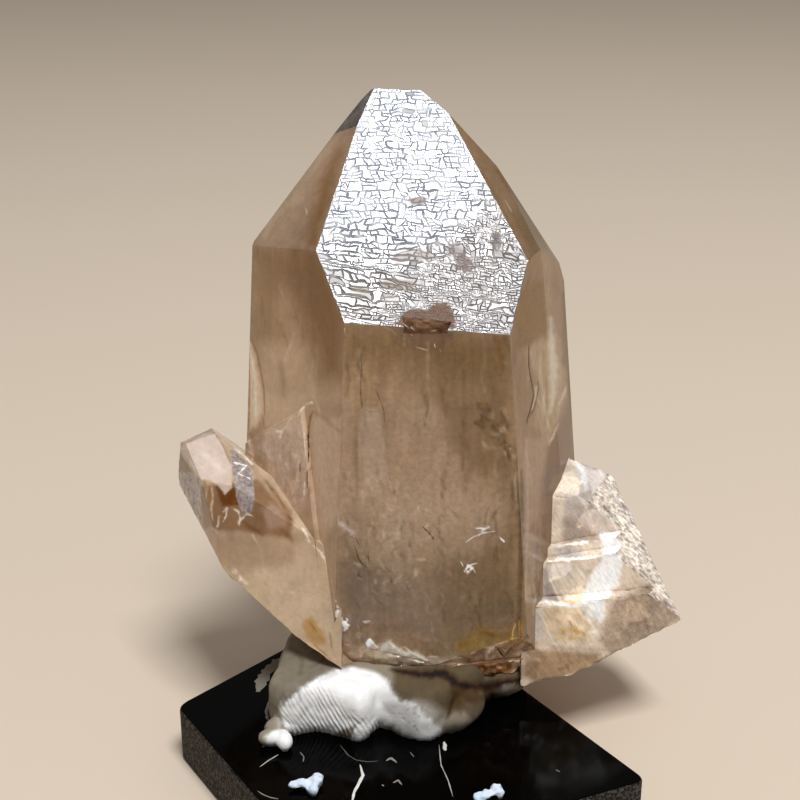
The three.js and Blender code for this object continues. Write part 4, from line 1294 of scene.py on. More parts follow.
@dataclass
class MosaicFace(ZoneLook):
    """The front rhomb face, etched into small raised plates between narrow grooves.

    Where a pair is given, its first number holds in the upper part of the face and its
    second one in the lower part. Lengths are in millimetres and directions in degrees.

    Attributes:
        centre: middle of the face.
        azimuth: direction of the face from the front towards +X.
        rise: how far the face looks up.
        row_height: height of a row of plates.
        row_slant: how far the rows are turned within the face.
        plate_width: usual width of a plate.
        plate_lean: how far the ends of a plate may lean to either side.
        joined_share: share of the plates that are joined to a neighbour.
        outline_steps: lengths above which an outline is divided before it is wavered.
        wavers: size and reach of each layer of waver in the outlines.
        still_rim: width of the rim of the face in which the outlines waver less.
        groove_width: width of a groove beside a plate.
        least_width: width below which a sliver is part of the groove.
        groove_depth: depth of the middle of a groove.
        plate_height: height of a plate.
        raised_area: area in square millimetres below which a plate stands out and tilts.
        tilt: how far the plates tilt, as a slope.
        seed: start of the random series.
    """

    centre: tuple[float, float, float] = (1.7, 10.1, 63.6)
    azimuth: float = 7.0
    rise: float = 40.0
    row_height: Pair = (0.78, 0.58)
    row_slant: Pair = (-1.5, -11.0)
    plate_width: Pair = (0.9, 1.2)
    plate_lean: float = 28.0
    joined_share: Pair = (0.26, 0.16)
    outline_steps: Pair = (0.9, 0.45)
    wavers: tuple[Pair, Pair] = ((1.7, 0.34), (0.5, 0.12))
    still_rim: float = 1.3
    groove_width: Pair = (0.14, 0.24)
    least_width: float = 0.015
    groove_depth: float = 0.02
    plate_height: float = 0.04
    raised_area: float = 2.5
    tilt: float = 0.022
    seed: int = 11

    def __post_init__(self) -> None:
        """Sets the face's own directions."""
        super().__post_init__()
        self.out = face_direction(self.azimuth, self.rise)
        turn = math.radians(self.azimuth)
        self.across = Vector((math.cos(turn), math.sin(turn), 0))
        self.up = self.out.cross(self.across)
        self.draw = random.Random(self.seed)

    def place(self, spot: Vector) -> Pair:
        """Returns how far a spot lies across and up from the middle of the face."""
        away = spot - Vector(self.centre)
        return away.dot(self.across), away.dot(self.up)

    def speckled(self, u: float, v: float) -> float:
        """Says how finely broken the face is there: more so at the lower right."""
        return smoothstep(-3.0, 6.0, u - 1.1 * v - 2.0)

    def lean(self, degrees: float, along: Vector) -> Vector:
        """Turns a direction of the face within the face."""
        return Matrix.Rotation(math.radians(degrees), 3, self.out) @ along

    def cut(self, bm: bmesh.types.BMesh) -> None:
        """Cuts the face into rows of plates, wavers their outlines and opens the grooves.

        Args:
            bm: the mesh that holds the flat face.
        """
        patch = bm.faces.layers.int["patch"]
        self.border = [
            (self.place(e.verts[0].co / MM), self.place(e.verts[1].co / MM))
            for e in bm.edges if len(e.link_faces) == 1
        ]
        spots = [self.place(v.co / MM) for v in bm.verts]
        left, right = min(u for u, _ in spots), max(u for u, _ in spots)
        low, high = min(v for _, v in spots), max(v for _, v in spots)
        rest, rows, v = list(bm.faces), [], low
        while v < high - 0.5:
            lowness = smoothstep(2.0, -7.0, v)
            v += blend(*self.row_height, lowness) * self.draw.uniform(0.7, 1.35)
            slant = blend(*self.row_slant, lowness) + self.draw.uniform(-2.2, 2.2)
            middle = (Vector(self.centre) + self.up * v) * MM
            row, rest = part_off(bm, rest, middle, self.lean(slant, self.up))
            rows.append((v, lowness, row))
        rows.append((high, 0.0, rest))
        for v, lowness, row in rows:
            u = left + self.draw.uniform(0, 1.2)
            while u < right - 0.4 and row:
                lean = self.draw.uniform(-self.plate_lean, self.plate_lean)
                middle = (Vector(self.centre) + self.across * u + self.up * (v - 0.5)) * MM
                row = part_off(bm, row, middle, self.lean(lean, self.across))[1]
                wide = blend(*self.plate_width, lowness * (1 - self.speckled(u, v)))
                u += wide * self.draw.uniform(0.5, 1.5)
        self.join_some(bm)
        self.split_more(bm)
        self.waver(bm)
        self.open_grooves(bm, patch)

    def join_some(self, bm: bmesh.types.BMesh) -> None:
        """Joins some neighbouring plates into larger ones of irregular outline.

        Args:
            bm: the mesh of the plates.
        """
        bm.faces.index_update()
        used: set[int] = set()
        gone = []
        edges = [e for e in bm.edges if len(e.link_faces) == 2]
        self.draw.shuffle(edges)
        for edge in edges:
            pair = {f.index for f in edge.link_faces}
            u, v = self.place((edge.verts[0].co + edge.verts[1].co) / 2 / MM)
            share = blend(*self.joined_share, smoothstep(6.0, -2.0, v))
            share *= 1 - self.speckled(u, v)
            if not pair & used and self.draw.random() < share:
                used |= pair
                gone.append(edge)
        bmesh.ops.dissolve_edges(bm, edges=gone, use_verts=False)

    def split_more(self, bm: bmesh.types.BMesh) -> None:
        """Splits plates of the finely broken part again.

        Args:
            bm: the mesh of the plates.
        """
        for face in list(bm.faces):
            middle = face.calc_center_median()
            u, v = self.place(middle / MM)
            if self.draw.random() < 0.9 * self.speckled(u, v):
                along = self.lean(self.draw.uniform(-25, 10), self.up)
                part_off(bm, [face], middle, along)
        for face in list(bm.faces):
            middle = face.calc_center_median()
            u, v = self.place(middle / MM)
            if self.draw.random() < self.speckled(u, v) - 0.3:
                along = self.lean(self.draw.uniform(-35, 35), self.across)
                part_off(bm, [face], middle, along)

    def waver(self, bm: bmesh.types.BMesh) -> None:
        """Gives the plates uneven outlines; the rim of the face stays in place.

        Args:
            bm: the mesh of the plates.
        """
        for length in self.outline_steps:
            long = [e for e in bm.edges if e.calc_length() > length * MM]
            bmesh.ops.subdivide_edges(bm, edges=long, cuts=1)
        for vert in bm.verts:
            if all(len(e.link_faces) == 2 for e in vert.link_edges):
                flat = Vector((*self.place(vert.co / MM), 0))
                gap = min(gap_to_line(flat.xy, a, b) for a, b in self.border)
                free = smoothstep(0.0, self.still_rim, gap)
                sway, heave = (
                    sum(
                        reach * grain(flat, size, seed + layer)
                        for layer, (size, reach) in enumerate(self.wavers)
                    )
                    for seed in (1, 3)
                )
                vert.co += (self.across * sway + self.up * heave) * free * MM

    def open_grooves(self, bm: bmesh.types.BMesh, patch: bmesh.types.BMLayerItem) -> None:
        """Insets every plate, raises and tilts it and sinks the line between plates.

        Args:
            bm: the mesh of the plates.
            patch: the layer that gets each plate's number, 0 in a groove.
        """
        plates = list(bm.faces)
        inner = {v for v in bm.verts if all(len(e.link_faces) == 2 for e in v.link_edges)}
        groups: dict[float, list[bmesh.types.BMFace]] = {}
        for number, face in enumerate(plates):
            face[patch] = number + 1
            u, v = self.place(face.calc_center_median() / MM)
            open_share = max(smoothstep(8.0, -4.0, v), self.speckled(u, v))
            width = blend(*self.groove_width, open_share) * self.draw.uniform(0.45, 1.4)
            edge_length = sum(e.calc_length() for e in face.edges) / MM
            width = min(width, 0.9 * face.calc_area() / MM / MM / edge_length)
            if width < self.least_width:
                face[patch] = 0
            else:
                groups.setdefault(round(width, 2), []).append(face)
        corners, grooves = set(bm.verts), []
        for width, faces in groups.items():
            walls = bmesh.ops.inset_individual(
                bm, faces=faces, thickness=width * MM, use_even_offset=False
            )
            grooves += walls["faces"]
            for wall in walls["faces"]:
                wall[patch] = 0
        rim = {
            vert: other for wall in grooves for edge in wall.edges for vert in edge.verts
            if (other := edge.other_vert(vert)) in corners and vert not in corners
        }
        for face in plates:
            if face[patch]:
                self.draw_back(list(face.verts), rim)
        for vert in inner:
            vert.co -= self.out * self.groove_depth * MM
        for face in plates:
            middle = face.calc_center_median()
            slope = (self.draw.gauss(0, self.tilt), self.draw.gauss(0, self.tilt))
            if face[patch] and face.calc_area() < self.raised_area * MM * MM:
                for vert in face.verts:
                    away = vert.co - middle
                    rise = away.dot(self.across) * slope[0] + away.dot(self.up) * slope[1]
                    vert.co += self.out * (self.plate_height * MM * 0.5 + rise)

    def draw_back(
        self, verts: list[bmesh.types.BMVert], rim: dict[bmesh.types.BMVert, bmesh.types.BMVert]
    ) -> None:
        """Draws the outline of a plate back to the middle of the groove where it crosses itself.

        Args:
            verts: the corners of the plate in order.
            rim: for each of them the corner in the middle of the groove.
        """
        count = len(verts)
        middles = [Vector(self.place(rim[vert].co / MM)) for vert in verts]
        for _ in range(12):
            spots = [Vector(self.place(vert.co / MM)) for vert in verts]
            moved: set[int] = set()
            for i in range(count):
                k = (i + 1) % count
                if (spots[k] - spots[i]).dot(middles[k] - middles[i]) <= 0:
                    moved |= {i, k}
                for j in range(i + 2, count):
                    m = (j + 1) % count
                    ends = spots[i], spots[k], spots[j], spots[m]
                    if m != i and geometry.intersect_line_line_2d(*ends):
                        moved |= {i, k, j, m}
            if not moved:
                break
            for i in moved:
                verts[i].co = rim[verts[i]].co.lerp(verts[i].co, 0.6)

    def fine_at(self, spot: Vector, size: float) -> bool:
        """Says that the plates need no finer mesh."""
        return False

    def skin(self, spot: Vector, patch: int) -> Skin:
        """Returns the look of plate or groove at a spot of the face.

        Args:
            spot: the place in millimetres.
            patch: number of the plate, 0 in a groove.

        Returns:
            How the spot looks.
        """
        u, v = self.place(spot)
        flat = Vector((u, v, 0))
        low = smoothstep(5.0, -7.0, v)
        fine = self.speckled(u, v)
        chance = random.Random(patch * 7 + self.seed)
        tone = 0.8 + 0.2 * chance.random()
        dull = chance.random() < 0.03 + 0.17 * low + 0.55 * fine
        grey = 0.3 + 0.45 * chance.random() if dull else 0.1 * chance.random()
        # The plates are painted near-white: partly their frosted etch, partly painted glare of the key
        # light.
        frost_and_glare_white = tuple(value * tone for value in linear("f6f8ff"))
        base = blend_colour(frost_and_glare_white, linear("938e8c"), grey)
        if patch == 0:
            deep = smoothstep(-0.35, 0.35, grain(flat, 1.1, 8, 2) + 0.15 * low + 0.1)
            pale = blend_colour(linear("bdc4d1"), linear("918a86"), max(low, fine))
            dark = blend_colour(linear("6b768b"), linear("4b4543"), max(low, fine))
            base, grey = blend_colour(pale, dark, deep), 1.0
        x, y = front_place(spot)
        for mark, colour in self.near.get((math.floor(x), math.floor(y)), ()):
            cover = mark.cover(x, y)
            base, grey = blend_colour(base, colour, cover), blend(grey, 1.0, cover)
        rough = blend(0.17, 0.55, grey)
        return Skin(base, blend(0.7, 0.95, grey), rough, 0.3 + 0.4 * fine, 0.0)


class Zone(Enum):
    """Groups of quartz faces that share a look."""

    MOSAIC = "mosaic"
    FRONT = "front prism face"
    RIGHT_PRISM = "right prism faces"
    LEFT_PRISM = "left prism face and its growth layer"
    LEFT_RHOMB = "left rhomb face"
    RIGHT_RHOMB = "right rhomb faces"
    DARK_FACET = "small dark facet beside the tip"
    REAR = "rear faces"
    CHIPPED = "broken foot of the point"
    NOTCH = "notch in the front rhomb"
    LEFT_CRYSTAL = "small crystal"
    STEPPED = "stepped mass"
    FLANK = "outer flank of the stepped mass"
    UNDER = "broken undersides"


# Faces of each zone: azimuth and rise of their outward direction in degrees.
ZONE_FACES: dict[Zone, list[Pair]] = {
    Zone.MOSAIC: [(7.0, 40.0)],
    Zone.FRONT: [(3.0, 4.0)],
    Zone.RIGHT_PRISM: [(63.4, 5.7), (69.0, 6.1)],
    Zone.LEFT_PRISM: [(-53.3, 4.5), (32.0, 16.5), (-103.7, 49.9)],
    Zone.LEFT_RHOMB: [(-59.8, 37.5)],
    Zone.RIGHT_RHOMB: [(59.9, 42.2), (83.7, 33.5)],
    Zone.DARK_FACET: [(-62.0, 41.0)],
    Zone.REAR: [
        (126.0, 2.4), (127.0, 0.0), (-177.0, 2.0), (-118.0, 1.7), (124.0, 35.1),
        (124.0, 28.8), (-178.0, 41.0), (-130.0, 39.0), (-130.0, 25.6),
    ],
    Zone.CHIPPED: [
        (-4.0, -20.0), (13.0, -23.0), (-3.0, -14.0),
        (72.0, -16.0), (-66.0, -24.0), (8.0, -80.0), (12.0, -11.0), (66.0, -22.0),
        (-78.0, -12.0), (24.0, -77.0),
    ],
    Zone.NOTCH: [
        (-70.0, -8.0), (66.0, 8.0), (10.0, -74.0), (0.0, -14.0), (180.0, 62.0),
        (110.0, -8.0), (-114.0, 8.0), (0.0, 90.0),
    ],
    Zone.LEFT_CRYSTAL: [
        (-22.0, 13.5), (-62.0, 7.6), (-140.0, 2.0), (-21.2, 58.0), (-59.7, -2.5),
        (30.6, 64.6), (118.7, 48.1), (-114.2, 69.9), (180.0, 0.0), (-95.0, -49.1), (-60.0, -51.6),
    ],
    Zone.STEPPED: [
        (12.0, 12.0), (9.0, 13.0), (12.0, 13.0), (15.0, 14.0), (39.4, 57.6),
        (6.6, 82.5), (-17.2, 82.5), (-14.7, 82.5),
    ],
    Zone.FLANK: [(48.0, 41.6), (112.0, 12.6), (110.0, 50.0), (178.0, 0.0)],
    Zone.UNDER: [
        (0.0, -90.0), (81.4, -82.4), (43.2, -50.5), (-90.0, -55.7), (-90.0, 0.0),
        (90.0, 0.0),
    ],
}
FACE_MATCH = math.cos(math.radians(1.2))
ZONES = list(Zone)


@dataclass
class QuartzGroup:
    """The grown-together crystals: one closed see-through body with a detailed skin."""

    material: bpy.types.Material
    looks: dict[Zone, ZoneLook] = field(default_factory=dict)
    same_face: float = math.radians(0.4)
    seam: float = 4e-6
    finest: Pair = (0.2, 0.1)

    def build(self) -> None:
        """Builds the quartz piece in place of its CAD node."""
        flat = merged_copy(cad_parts["quartz"])
        bmesh.ops.dissolve_limit(
            flat,
            angle_limit=self.same_face,
            use_dissolve_boundaries=False,
            verts=flat.verts,
            edges=flat.edges,
        )
        flat.normal_update()
        for name in ("zone", "plane", "patch"):
            flat.faces.layers.int.new(name)
        zone, plane = (flat.faces.layers.int[name] for name in ("zone", "plane"))
        for number, face in enumerate(flat.faces):
            face[plane] = number
            face[zone] = ZONES.index(self.zone_of(face))
        body = self.cut_faces(flat)
        self.close_seams(flat, body)
        flat.free()
        for size in self.finest:
            self.refine(body, size)
        self.dress(body)
        plane, patch = (body.faces.layers.int[name] for name in ("plane", "patch"))
        for edge in body.edges:
            a, b = edge.link_faces
            edge.smooth = a[plane] == b[plane] and a[patch] == b[patch] == 0
        for face in body.faces:
            face.smooth = True
        piece = new_object("smoky_quartz", body, self.material)
        register(piece, "quartz")

    def zone_of(self, face: bmesh.types.BMFace) -> Zone:
        """Finds the zone of a flat face from its direction.

        Args:
            face: the face.

        Returns:
            Its zone, or the undersides where no direction matches.
        """
        for zone, directions in ZONE_FACES.items():
            for azimuth, rise in directions:
                if face.normal.dot(face_direction(azimuth, rise)) > FACE_MATCH:
                    return zone
        LOG.info("face %s has no zone", tuple(round(c, 2) for c in face.normal))
        return Zone.UNDER

    def cut_faces(self, flat: bmesh.types.BMesh) -> bmesh.types.BMesh:
        """Cuts each flat face by itself in the way of its look.

        Args:
            flat: the closed body with one face for each plane.

        Returns:
            A mesh of all the cut faces, not joined to each other yet.
        """
        body = bmesh.new()
        carrier = bpy.data.meshes.new("carrier")
        zone = flat.faces.layers.int["zone"]
        flat.faces.ensure_lookup_table()
        for number in range(len(flat.faces)):
            part = flat.copy()
            part.faces.ensure_lookup_table()
            others = [f for f in part.faces if f.index != number]
            bmesh.ops.delete(part, geom=others, context="FACES")
            self.looks[ZONES[flat.faces[number][zone]]].cut(part)
            part.to_mesh(carrier)
            part.free()
            body.from_mesh(carrier)
        bpy.data.meshes.remove(carrier)
        return body

    def close_seams(self, flat: bmesh.types.BMesh, body: bmesh.types.BMesh) -> None:
        """Gives both sides of every crystal edge the same corners and joins them.

        Args:
            flat: the closed body with one face for each plane.
            body: the cut faces.
        """
        flat_plane = flat.faces.layers.int["plane"]
        sides: dict[int, list[tuple[int, Vector, Vector]]] = {}
        for edge in flat.edges:
            ends = [v.co.copy() for v in edge.verts]
            for face in edge.link_faces:
                sides.setdefault(face[flat_plane], []).append((edge.index, *ends))
        plane = body.faces.layers.int["plane"]
        open_edges: dict[int, list[tuple[float, float, bmesh.types.BMEdge]]] = {}
        for edge in body.edges:
            if len(edge.link_faces) == 1:
                known = sides[edge.link_faces[0][plane]]
                number, *ends = min(known, key=lambda side: off_line(edge, side[1], side[2]))
                along = ends[1] - ends[0]
                places = [(v.co - ends[0]).dot(along) / along.length for v in edge.verts]
                open_edges.setdefault(number, []).append((*places, edge))
        for found in open_edges.values():
            stops = sorted({place for start, end, _ in found for place in (start, end)})
            for start, end, edge in found:
                low, high = min(start, end) + self.seam, max(start, end) - self.seam
                within = [place for place in stops if low < place < high]
                self.split_at(edge, start, end, within)
        rims = [v for v in body.verts if v.is_boundary]
        bmesh.ops.remove_doubles(body, verts=rims, dist=self.seam)

    def split_at(
        self, edge: bmesh.types.BMEdge, start: float, end: float, places: list[float]
    ) -> None:
        """Splits an edge of the body.

        Args:
            edge: the edge.
            start: where its first corner lies along the crystal edge, as a share of it.
            end: where its other corner lies.
            places: where it is split, between start and end.
        """
        first, last = edge.verts
        origin, along = first.co.copy(), last.co - first.co
        last_place = 0.0
        for place in sorted((p - start) / (end - start) for p in places):
            if (place - last_place) * along.length > self.seam:
                share = (place - last_place) / (1 - last_place)
                _, middle = bmesh.utils.edge_split(edge, first, share)
                middle.co = origin + along * place
                edge = next(e for e in middle.link_edges if last in e.verts)
                first, last_place = middle, place

    def refine(self, body: bmesh.types.BMesh, size: float) -> None:
        """Halves the mesh squares where a mark is narrower than they are.

        Args:
            body: the closed mesh.
            size: side in millimetres above which squares are halved.
        """
        zone = body.faces.layers.int["zone"]
        chosen: set[bmesh.types.BMEdge] = set()
        for face in body.faces:
            longest = max(e.calc_length() for e in face.edges) / MM
            if longest > size and len(face.verts) < 7:
                look = self.looks[ZONES[face[zone]]]
                if look.fine_at(face.calc_center_median() / MM, longest):
                    chosen.update(e for e in face.edges if e.calc_length() > size * MM * 0.7)
        bmesh.ops.subdivide_edges(body, edges=list(chosen), cuts=1, use_grid_fill=True)

    def dress(self, bm: bmesh.types.BMesh) -> None:
        """Writes the looks onto the mesh and raises its relief.

        Args:
            bm: the closed mesh, fine enough for the marks.
        """
        layers = bm.loops.layers
        paint = layers.float_color.new("paint")
        kinds = ("frost", "rough", "mottle", "brush")
        values = [(kind, layers.float.new(kind)) for kind in kinds]
        zone, plane, patch = (bm.faces.layers.int[n] for n in ("zone", "plane", "patch"))
        known: dict[tuple[int, int, int], Skin] = {}
        bm.verts.index_update()
        for face in bm.faces:
            look = self.looks[ZONES[face[zone]]]
            for loop in face.loops:
                key = (loop.vert.index, face[zone], face[patch])
                if key not in known:
                    known[key] = look.skin(loop.vert.co / MM, face[patch])
                skin = known[key]
                loop[paint] = (*skin.colour, 1.0)
                for kind, value in values:
                    loop[value] = getattr(skin, kind)
        lifts: list[tuple[bmesh.types.BMVert, Vector]] = []
        for vert in bm.verts:
            face = vert.link_faces[0]
            if all(f[plane] == face[plane] for f in vert.link_faces):
                skin = known[(vert.index, face[zone], face[patch])]
                if skin.lift:
                    lifts.append((vert, face.normal * skin.lift * MM))
                continue
            rim = min(self.looks[ZONES[f[zone]]].rim for f in vert.link_faces)
            if rim:
                out = sum((f.normal for f in vert.link_faces), Vector()).normalized()
                height = grain(vert.co / MM, 1.5, 9, 3) - 0.25
                lifts.append((vert, out * rim * height * MM))
        for vert, move in lifts:
            vert.co += move


def off_line(edge: bmesh.types.BMEdge, start: Vector, end: Vector) -> float:
    """Measures how far the ends of an edge lie from a straight piece of line.

    Args:
        edge: the edge.
        start: one end of the line.
        end: the other end.

    Returns:
        The two distances added.
    """
    along = end - start
    total = 0.0
    for vert in edge.verts:
        share = (vert.co - start).dot(along) / along.length_squared
        total += (vert.co - start - along * min(1.0, max(0.0, share))).length
    return total


# Putty, crumbs and slab


@dataclass
class PuttyPiece:
    """A piece of putty: the CAD lump, remeshed evenly, with dents and finger ridges."""

    node: str
    name: str
    material: bpy.types.Material
    look: ZoneLook
    slot: str = "putty"
    voxel: float = 0.35
    spread: float = 0.28
    dents: float = 0.2
    dent_size: float = 3.2
    foot: float = 7.02
    ridges: list[Pair] = field(default_factory=list)
    ridge_pitch: float = 0.5
    ridge_turn: float = 57.0
    ridge_height: float = 0.07

    def build(self) -> None:
        """Builds the piece in place of its CAD node."""
        piece = new_object(self.name, merged_copy(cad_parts[self.node]), self.material)
        modifier = piece.modifiers.new("even", "REMESH")
        modifier.mode = "VOXEL"
        modifier.voxel_size = self.voxel * MM
        even = bpy.data.meshes.new_from_object(
            piece.evaluated_get(bpy.context.evaluated_depsgraph_get())
        )
        piece.modifiers.clear()
        piece.data = even
        bm = bmesh.new()
        bm.from_mesh(even)
        area = Mark(self.ridges, 0.1, "ffffff", 1, soft=1.6, filled=True) if self.ridges else None
        if area:
            for _ in range(2):
                near = [
                    e for e in bm.edges
                    if e.verts[0].normal.y < 0.3
                    and area.cover(*front_place(e.verts[0].co / MM)) > 0.02
                ]
                bmesh.ops.subdivide_edges(bm, edges=near, cuts=1, use_grid_fill=True)
        bm.normal_update()
        self.press(bm, area)
        for face in bm.faces:
            face.smooth = True
        bm.to_mesh(even)
        bm.free()
        register(piece, self.node)

    def press(self, bm: bmesh.types.BMesh, area: Mark | None) -> None:
        """Dents the lump, raises the ridges and writes its tones, which hold painted light and shade,
        darker in the ridge troughs.

        Args:
            bm: the evenly meshed lump.
            area: where fingers left their ridges, if anywhere.
        """
        paint = bm.verts.layers.float_color.new("paint")
        turn = math.radians(self.ridge_turn)
        moves = []
        for vert in bm.verts:
            spot = vert.co / MM
            x, y = front_place(spot)
            height = self.spread + self.dents * grain(spot, self.dent_size, 4, 3)
            shade = 1.0
            if area and vert.normal.y < 0.3:
                cover = area.cover(x, y)
                if cover > 0:
                    run = x * math.sin(turn) + y * math.cos(turn)
                    run += 0.25 * grain(Vector((x, y, 0)), 3.0, 6)
                    wave = math.cos(2 * math.pi * run / self.ridge_pitch)
                    strength = cover * (0.65 + 0.6 * grain(Vector((x, y, 0)), 1.4, 7))
                    height += self.ridge_height * wave * strength
                    # The troughs of the ridges are painted darker: painted shade.
                    shade = 1 - 0.25 * strength * (0.5 - 0.5 * wave)
            skin = self.look.skin(spot, 0)
            vert[paint] = (*(value * shade for value in skin.colour), 1.0)
            moves.append((vert, vert.normal * height * MM))
        for vert, move in moves:
            vert.co += move
            if vert.co.z < (self.foot + 0.33) * MM:
                vert.co.z = self.foot * MM


def on_level(x: float, y: float, level: float) -> Vector:
    """Finds the spot of a level plane that the front view shows at a place."""
    ray = VIEW_AHEAD * VIEW_DISTANCE + VIEW_ACROSS * x + VIEW_UP * y
    return VIEW_EYE + ray * ((level - VIEW_EYE.z) / ray.z)


@dataclass(frozen=True)
class Streak:
    """A smear, fibre or speck on the slab.

    Attributes:
        path: its middle line in millimetres of the front view.
        width: its width in millimetres.
        colour: sRGB hex.
        height: how far it stands up, in millimetres.
    """

    path: list[Pair]
    width: float
    colour: str
    height: float


SLAB_STREAKS = [
    Streak(
        [(-5.0, -45.62), (-4.62, -46.88), (-5.25, -48.12), (-5.75, -49.12), (-6.0, -50.25)],
        0.4, "e8e6e2", 0.1,
    ),
    Streak([(4.88, -43.12), (5.12, -45.62), (6.0, -47.5), (6.62, -49.62)], 0.16, "b8b5b0", 0.05),
    Streak([(5.5, -42.75), (5.56, -43.25), (5.62, -43.88)], 0.5, "d5d2cc", 0.12),
    Streak(
        [(-7.5, -43.12), (-6.5, -44.38), (-5.5, -45.0), (-4.0, -45.25), (-2.75, -45.12)],
        0.14, "5d5a55", 0.02,
    ),
    Streak([(-1.75, -45.12), (-1.12, -44.75), (-0.38, -45.38)], 0.3, "8a8680", 0.05),
    Streak([(-0.88, -47.88), (-0.25, -47.5), (0.25, -48.12)], 0.26, "8a8680", 0.05),
    Streak([(-2.25, -48.12), (-2.0, -48.25)], 0.22, "9a968f", 0.05),
    Streak([(-17.8, -48.9), (-17.0, -49.4), (-16.2, -49.7), (-15.2, -49.9)], 0.14, "9c9890", 0.06),
    Streak([(-17.5, -45.88), (-16.5, -45.12), (-15.25, -44.38)], 0.12, "c9c5bd", 0.08),
    Streak([(-17.25, -43.38), (-16.88, -43.25), (-16.5, -43.12)], 0.1, "c9c5bd", 0.08),
    Streak([(-17.75, -36.5), (-17.0, -34.5), (-16.0, -33.25), (-14.5, -32.12)], 1.7, "7a756c", 0.03),
    Streak([(-16.25, -37.5), (-16.75, -39.0), (-16.5, -40.0)], 0.5, "6b665e", 0.03),
    Streak([(19.5, -46.25), (20.0, -46.5)], 0.2, "8a8680", 0.05),
    Streak([(-12.5, -44.0), (-12.0, -44.62), (-12.12, -45.25)], 0.16, "77736c", 0.03),
    Streak([(1.25, -44.0), (1.75, -44.62)], 0.16, "77736c", 0.03),
]


@dataclass
class SlabLitter:
    """Putty smears, fibres and specks that lie on the polished top of the slab."""

    material: bpy.types.Material
    streaks: list[Streak]
    top: float = 7.0

    def build(self) -> None:
        """Builds all of it as one piece."""
        bm = bmesh.new()
        paint = bm.verts.layers.float_color.new("paint")
        for streak in self.streaks:
            self.lay(bm, streak, paint)
        piece = new_object("slab_smears", bm, self.material)
        register(piece)

    def lay(
        self, bm: bmesh.types.BMesh, streak: Streak, paint: bmesh.types.BMLayerItem
    ) -> None:
        """Lays one smear along its path, thin at the ends and uneven in width.

        Args:
            bm: the mesh that gets it.
            streak: the smear.
            paint: the layer that gets its colour.
        """
        stops = [on_level(x, y, self.top) for x, y in streak.path]
        rows = 8 * (len(stops) - 1)
        made = bmesh.ops.create_grid(bm, x_segments=rows, y_segments=4, size=0.5)["verts"]
        for vert in made:
            share, side = vert.co.x + 0.5, vert.co.y * 2
            place = min(share, 0.9999) * (len(stops) - 1)
            start, end = stops[int(place)], stops[int(place) + 1]
            middle = start.lerp(end, place - int(place))
            along = (end - start).normalized()
            uneven = 0.85 + 0.5 * grain(middle + Vector((side, 0, 0)), 0.9, 3)
            half = streak.width / 2 * min(1.0, 0.3 + 4 * share, 0.3 + 4 * (1 - share)) * uneven
            rise = streak.height * (1 - side * side) + 0.012
            vert.co = (middle + along.cross(Vector((0, 0, 1))) * side * half) * MM
            vert.co.z = (self.top + rise) * MM
            vert[paint] = (*linear(streak.colour), 1.0)
        faces = list({f for v in made for f in v.link_faces})
        bmesh.ops.recalc_face_normals(bm, faces=faces)
        if faces[0].normal.z < 0:
            bmesh.ops.reverse_faces(bm, faces=faces)
        bmesh.ops.solidify(bm, geom=faces, thickness=0.01 * MM)


def dress_node(name: str, material: bpy.types.Material) -> None:
    """Gives a CAD node that stays its finish.

    Args:
        name: the node.
        material: its finish.
    """
    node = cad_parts[name]
    node.data.materials.clear()
    node.data.materials.append(material)
    LOG.info("%s: finished", name)


@dataclass
class Studio:
    """Camera at the photograph's viewing angle, soft light and a pale floor."""

    focal_pixels: float = 1400.0
    sensor: float = 36.0
    floor_side: float = 4000.0
    key_rise: float = 66.0
    key_azimuth: float = 25.0
    key_distance: float = 1000.0
    key_side: float = 320.0
    key_radiance: float = 28.0
    fill: float = 0.3

    def build(self) -> None:
        """Builds everything around the specimen."""
        self.build_camera()
        self.build_key()
        self.build_world()
        self.build_floor()

    def build_camera(self) -> None:
        """Adds the camera."""
        data = bpy.data.cameras.new("photo_camera")
        data.sensor_width = self.sensor
        data.lens = self.focal_pixels * self.sensor / PHOTO_PIXELS
        data.clip_start = 0.005
        camera = bpy.data.objects.new("photo_camera", data)
        camera.location = VIEW_EYE * MM
        camera.rotation_euler = VIEW_AHEAD.to_track_quat("-Z", "Y").to_euler()
        bpy.context.scene.collection.objects.link(camera)
        bpy.context.scene.camera = camera

    def build_key(self) -> None:
        """Adds the square soft light whose glare lies on the mosaic face."""
        data = bpy.data.lights.new("key_light", "AREA")
        data.shape = "SQUARE"
        data.size = self.key_side * MM
        data.energy = math.pi * data.size**2 * self.key_radiance
        light = bpy.data.objects.new("key_light", data)
        toward = face_direction(self.key_azimuth, self.key_rise)
        light.location = Vector((0, 5, 55)) * MM + toward * self.key_distance * MM
        light.rotation_euler = toward.to_track_quat("Z", "Y").to_euler()
        bpy.context.scene.collection.objects.link(light)

    def build_world(self) -> None:
        """Fills the shadows with pale light that dims towards the horizon."""
        world = bpy.data.worlds.new("studio")
        world.use_nodes = True
        tree = world.node_tree
        tree.nodes.clear()
        where = add_node(tree, "ShaderNodeTexCoord").outputs["Generated"]
        height = add_node(tree, "ShaderNodeSeparateXYZ", {0: where}).outputs["Z"]
        glow = add_node(tree, "ShaderNodeMapRange", {
            "Value": height, "From Min": 0.1, "From Max": 0.7,
            "To Min": 0.3 * self.fill, "To Max": 1.3 * self.fill,
        })
        back = add_node(tree, "ShaderNodeBackground", {
            "Color": linear("f6f2ee"), "Strength": glow.outputs["Result"],
        })
        output = add_node(tree, "ShaderNodeOutputWorld")
        tree.links.new(back.outputs[0], output.inputs[0])
        bpy.context.scene.world = world

    def build_floor(self) -> None:
        """Adds the floor."""
        bm = bmesh.new()
        bmesh.ops.create_grid(bm, x_segments=1, y_segments=1, size=self.floor_side * MM / 2)
        bmesh.ops.translate(bm, vec=(0, 0, -0.00005), verts=bm.verts)
        floor = new_object("floor", bm, PaleFloor().build())


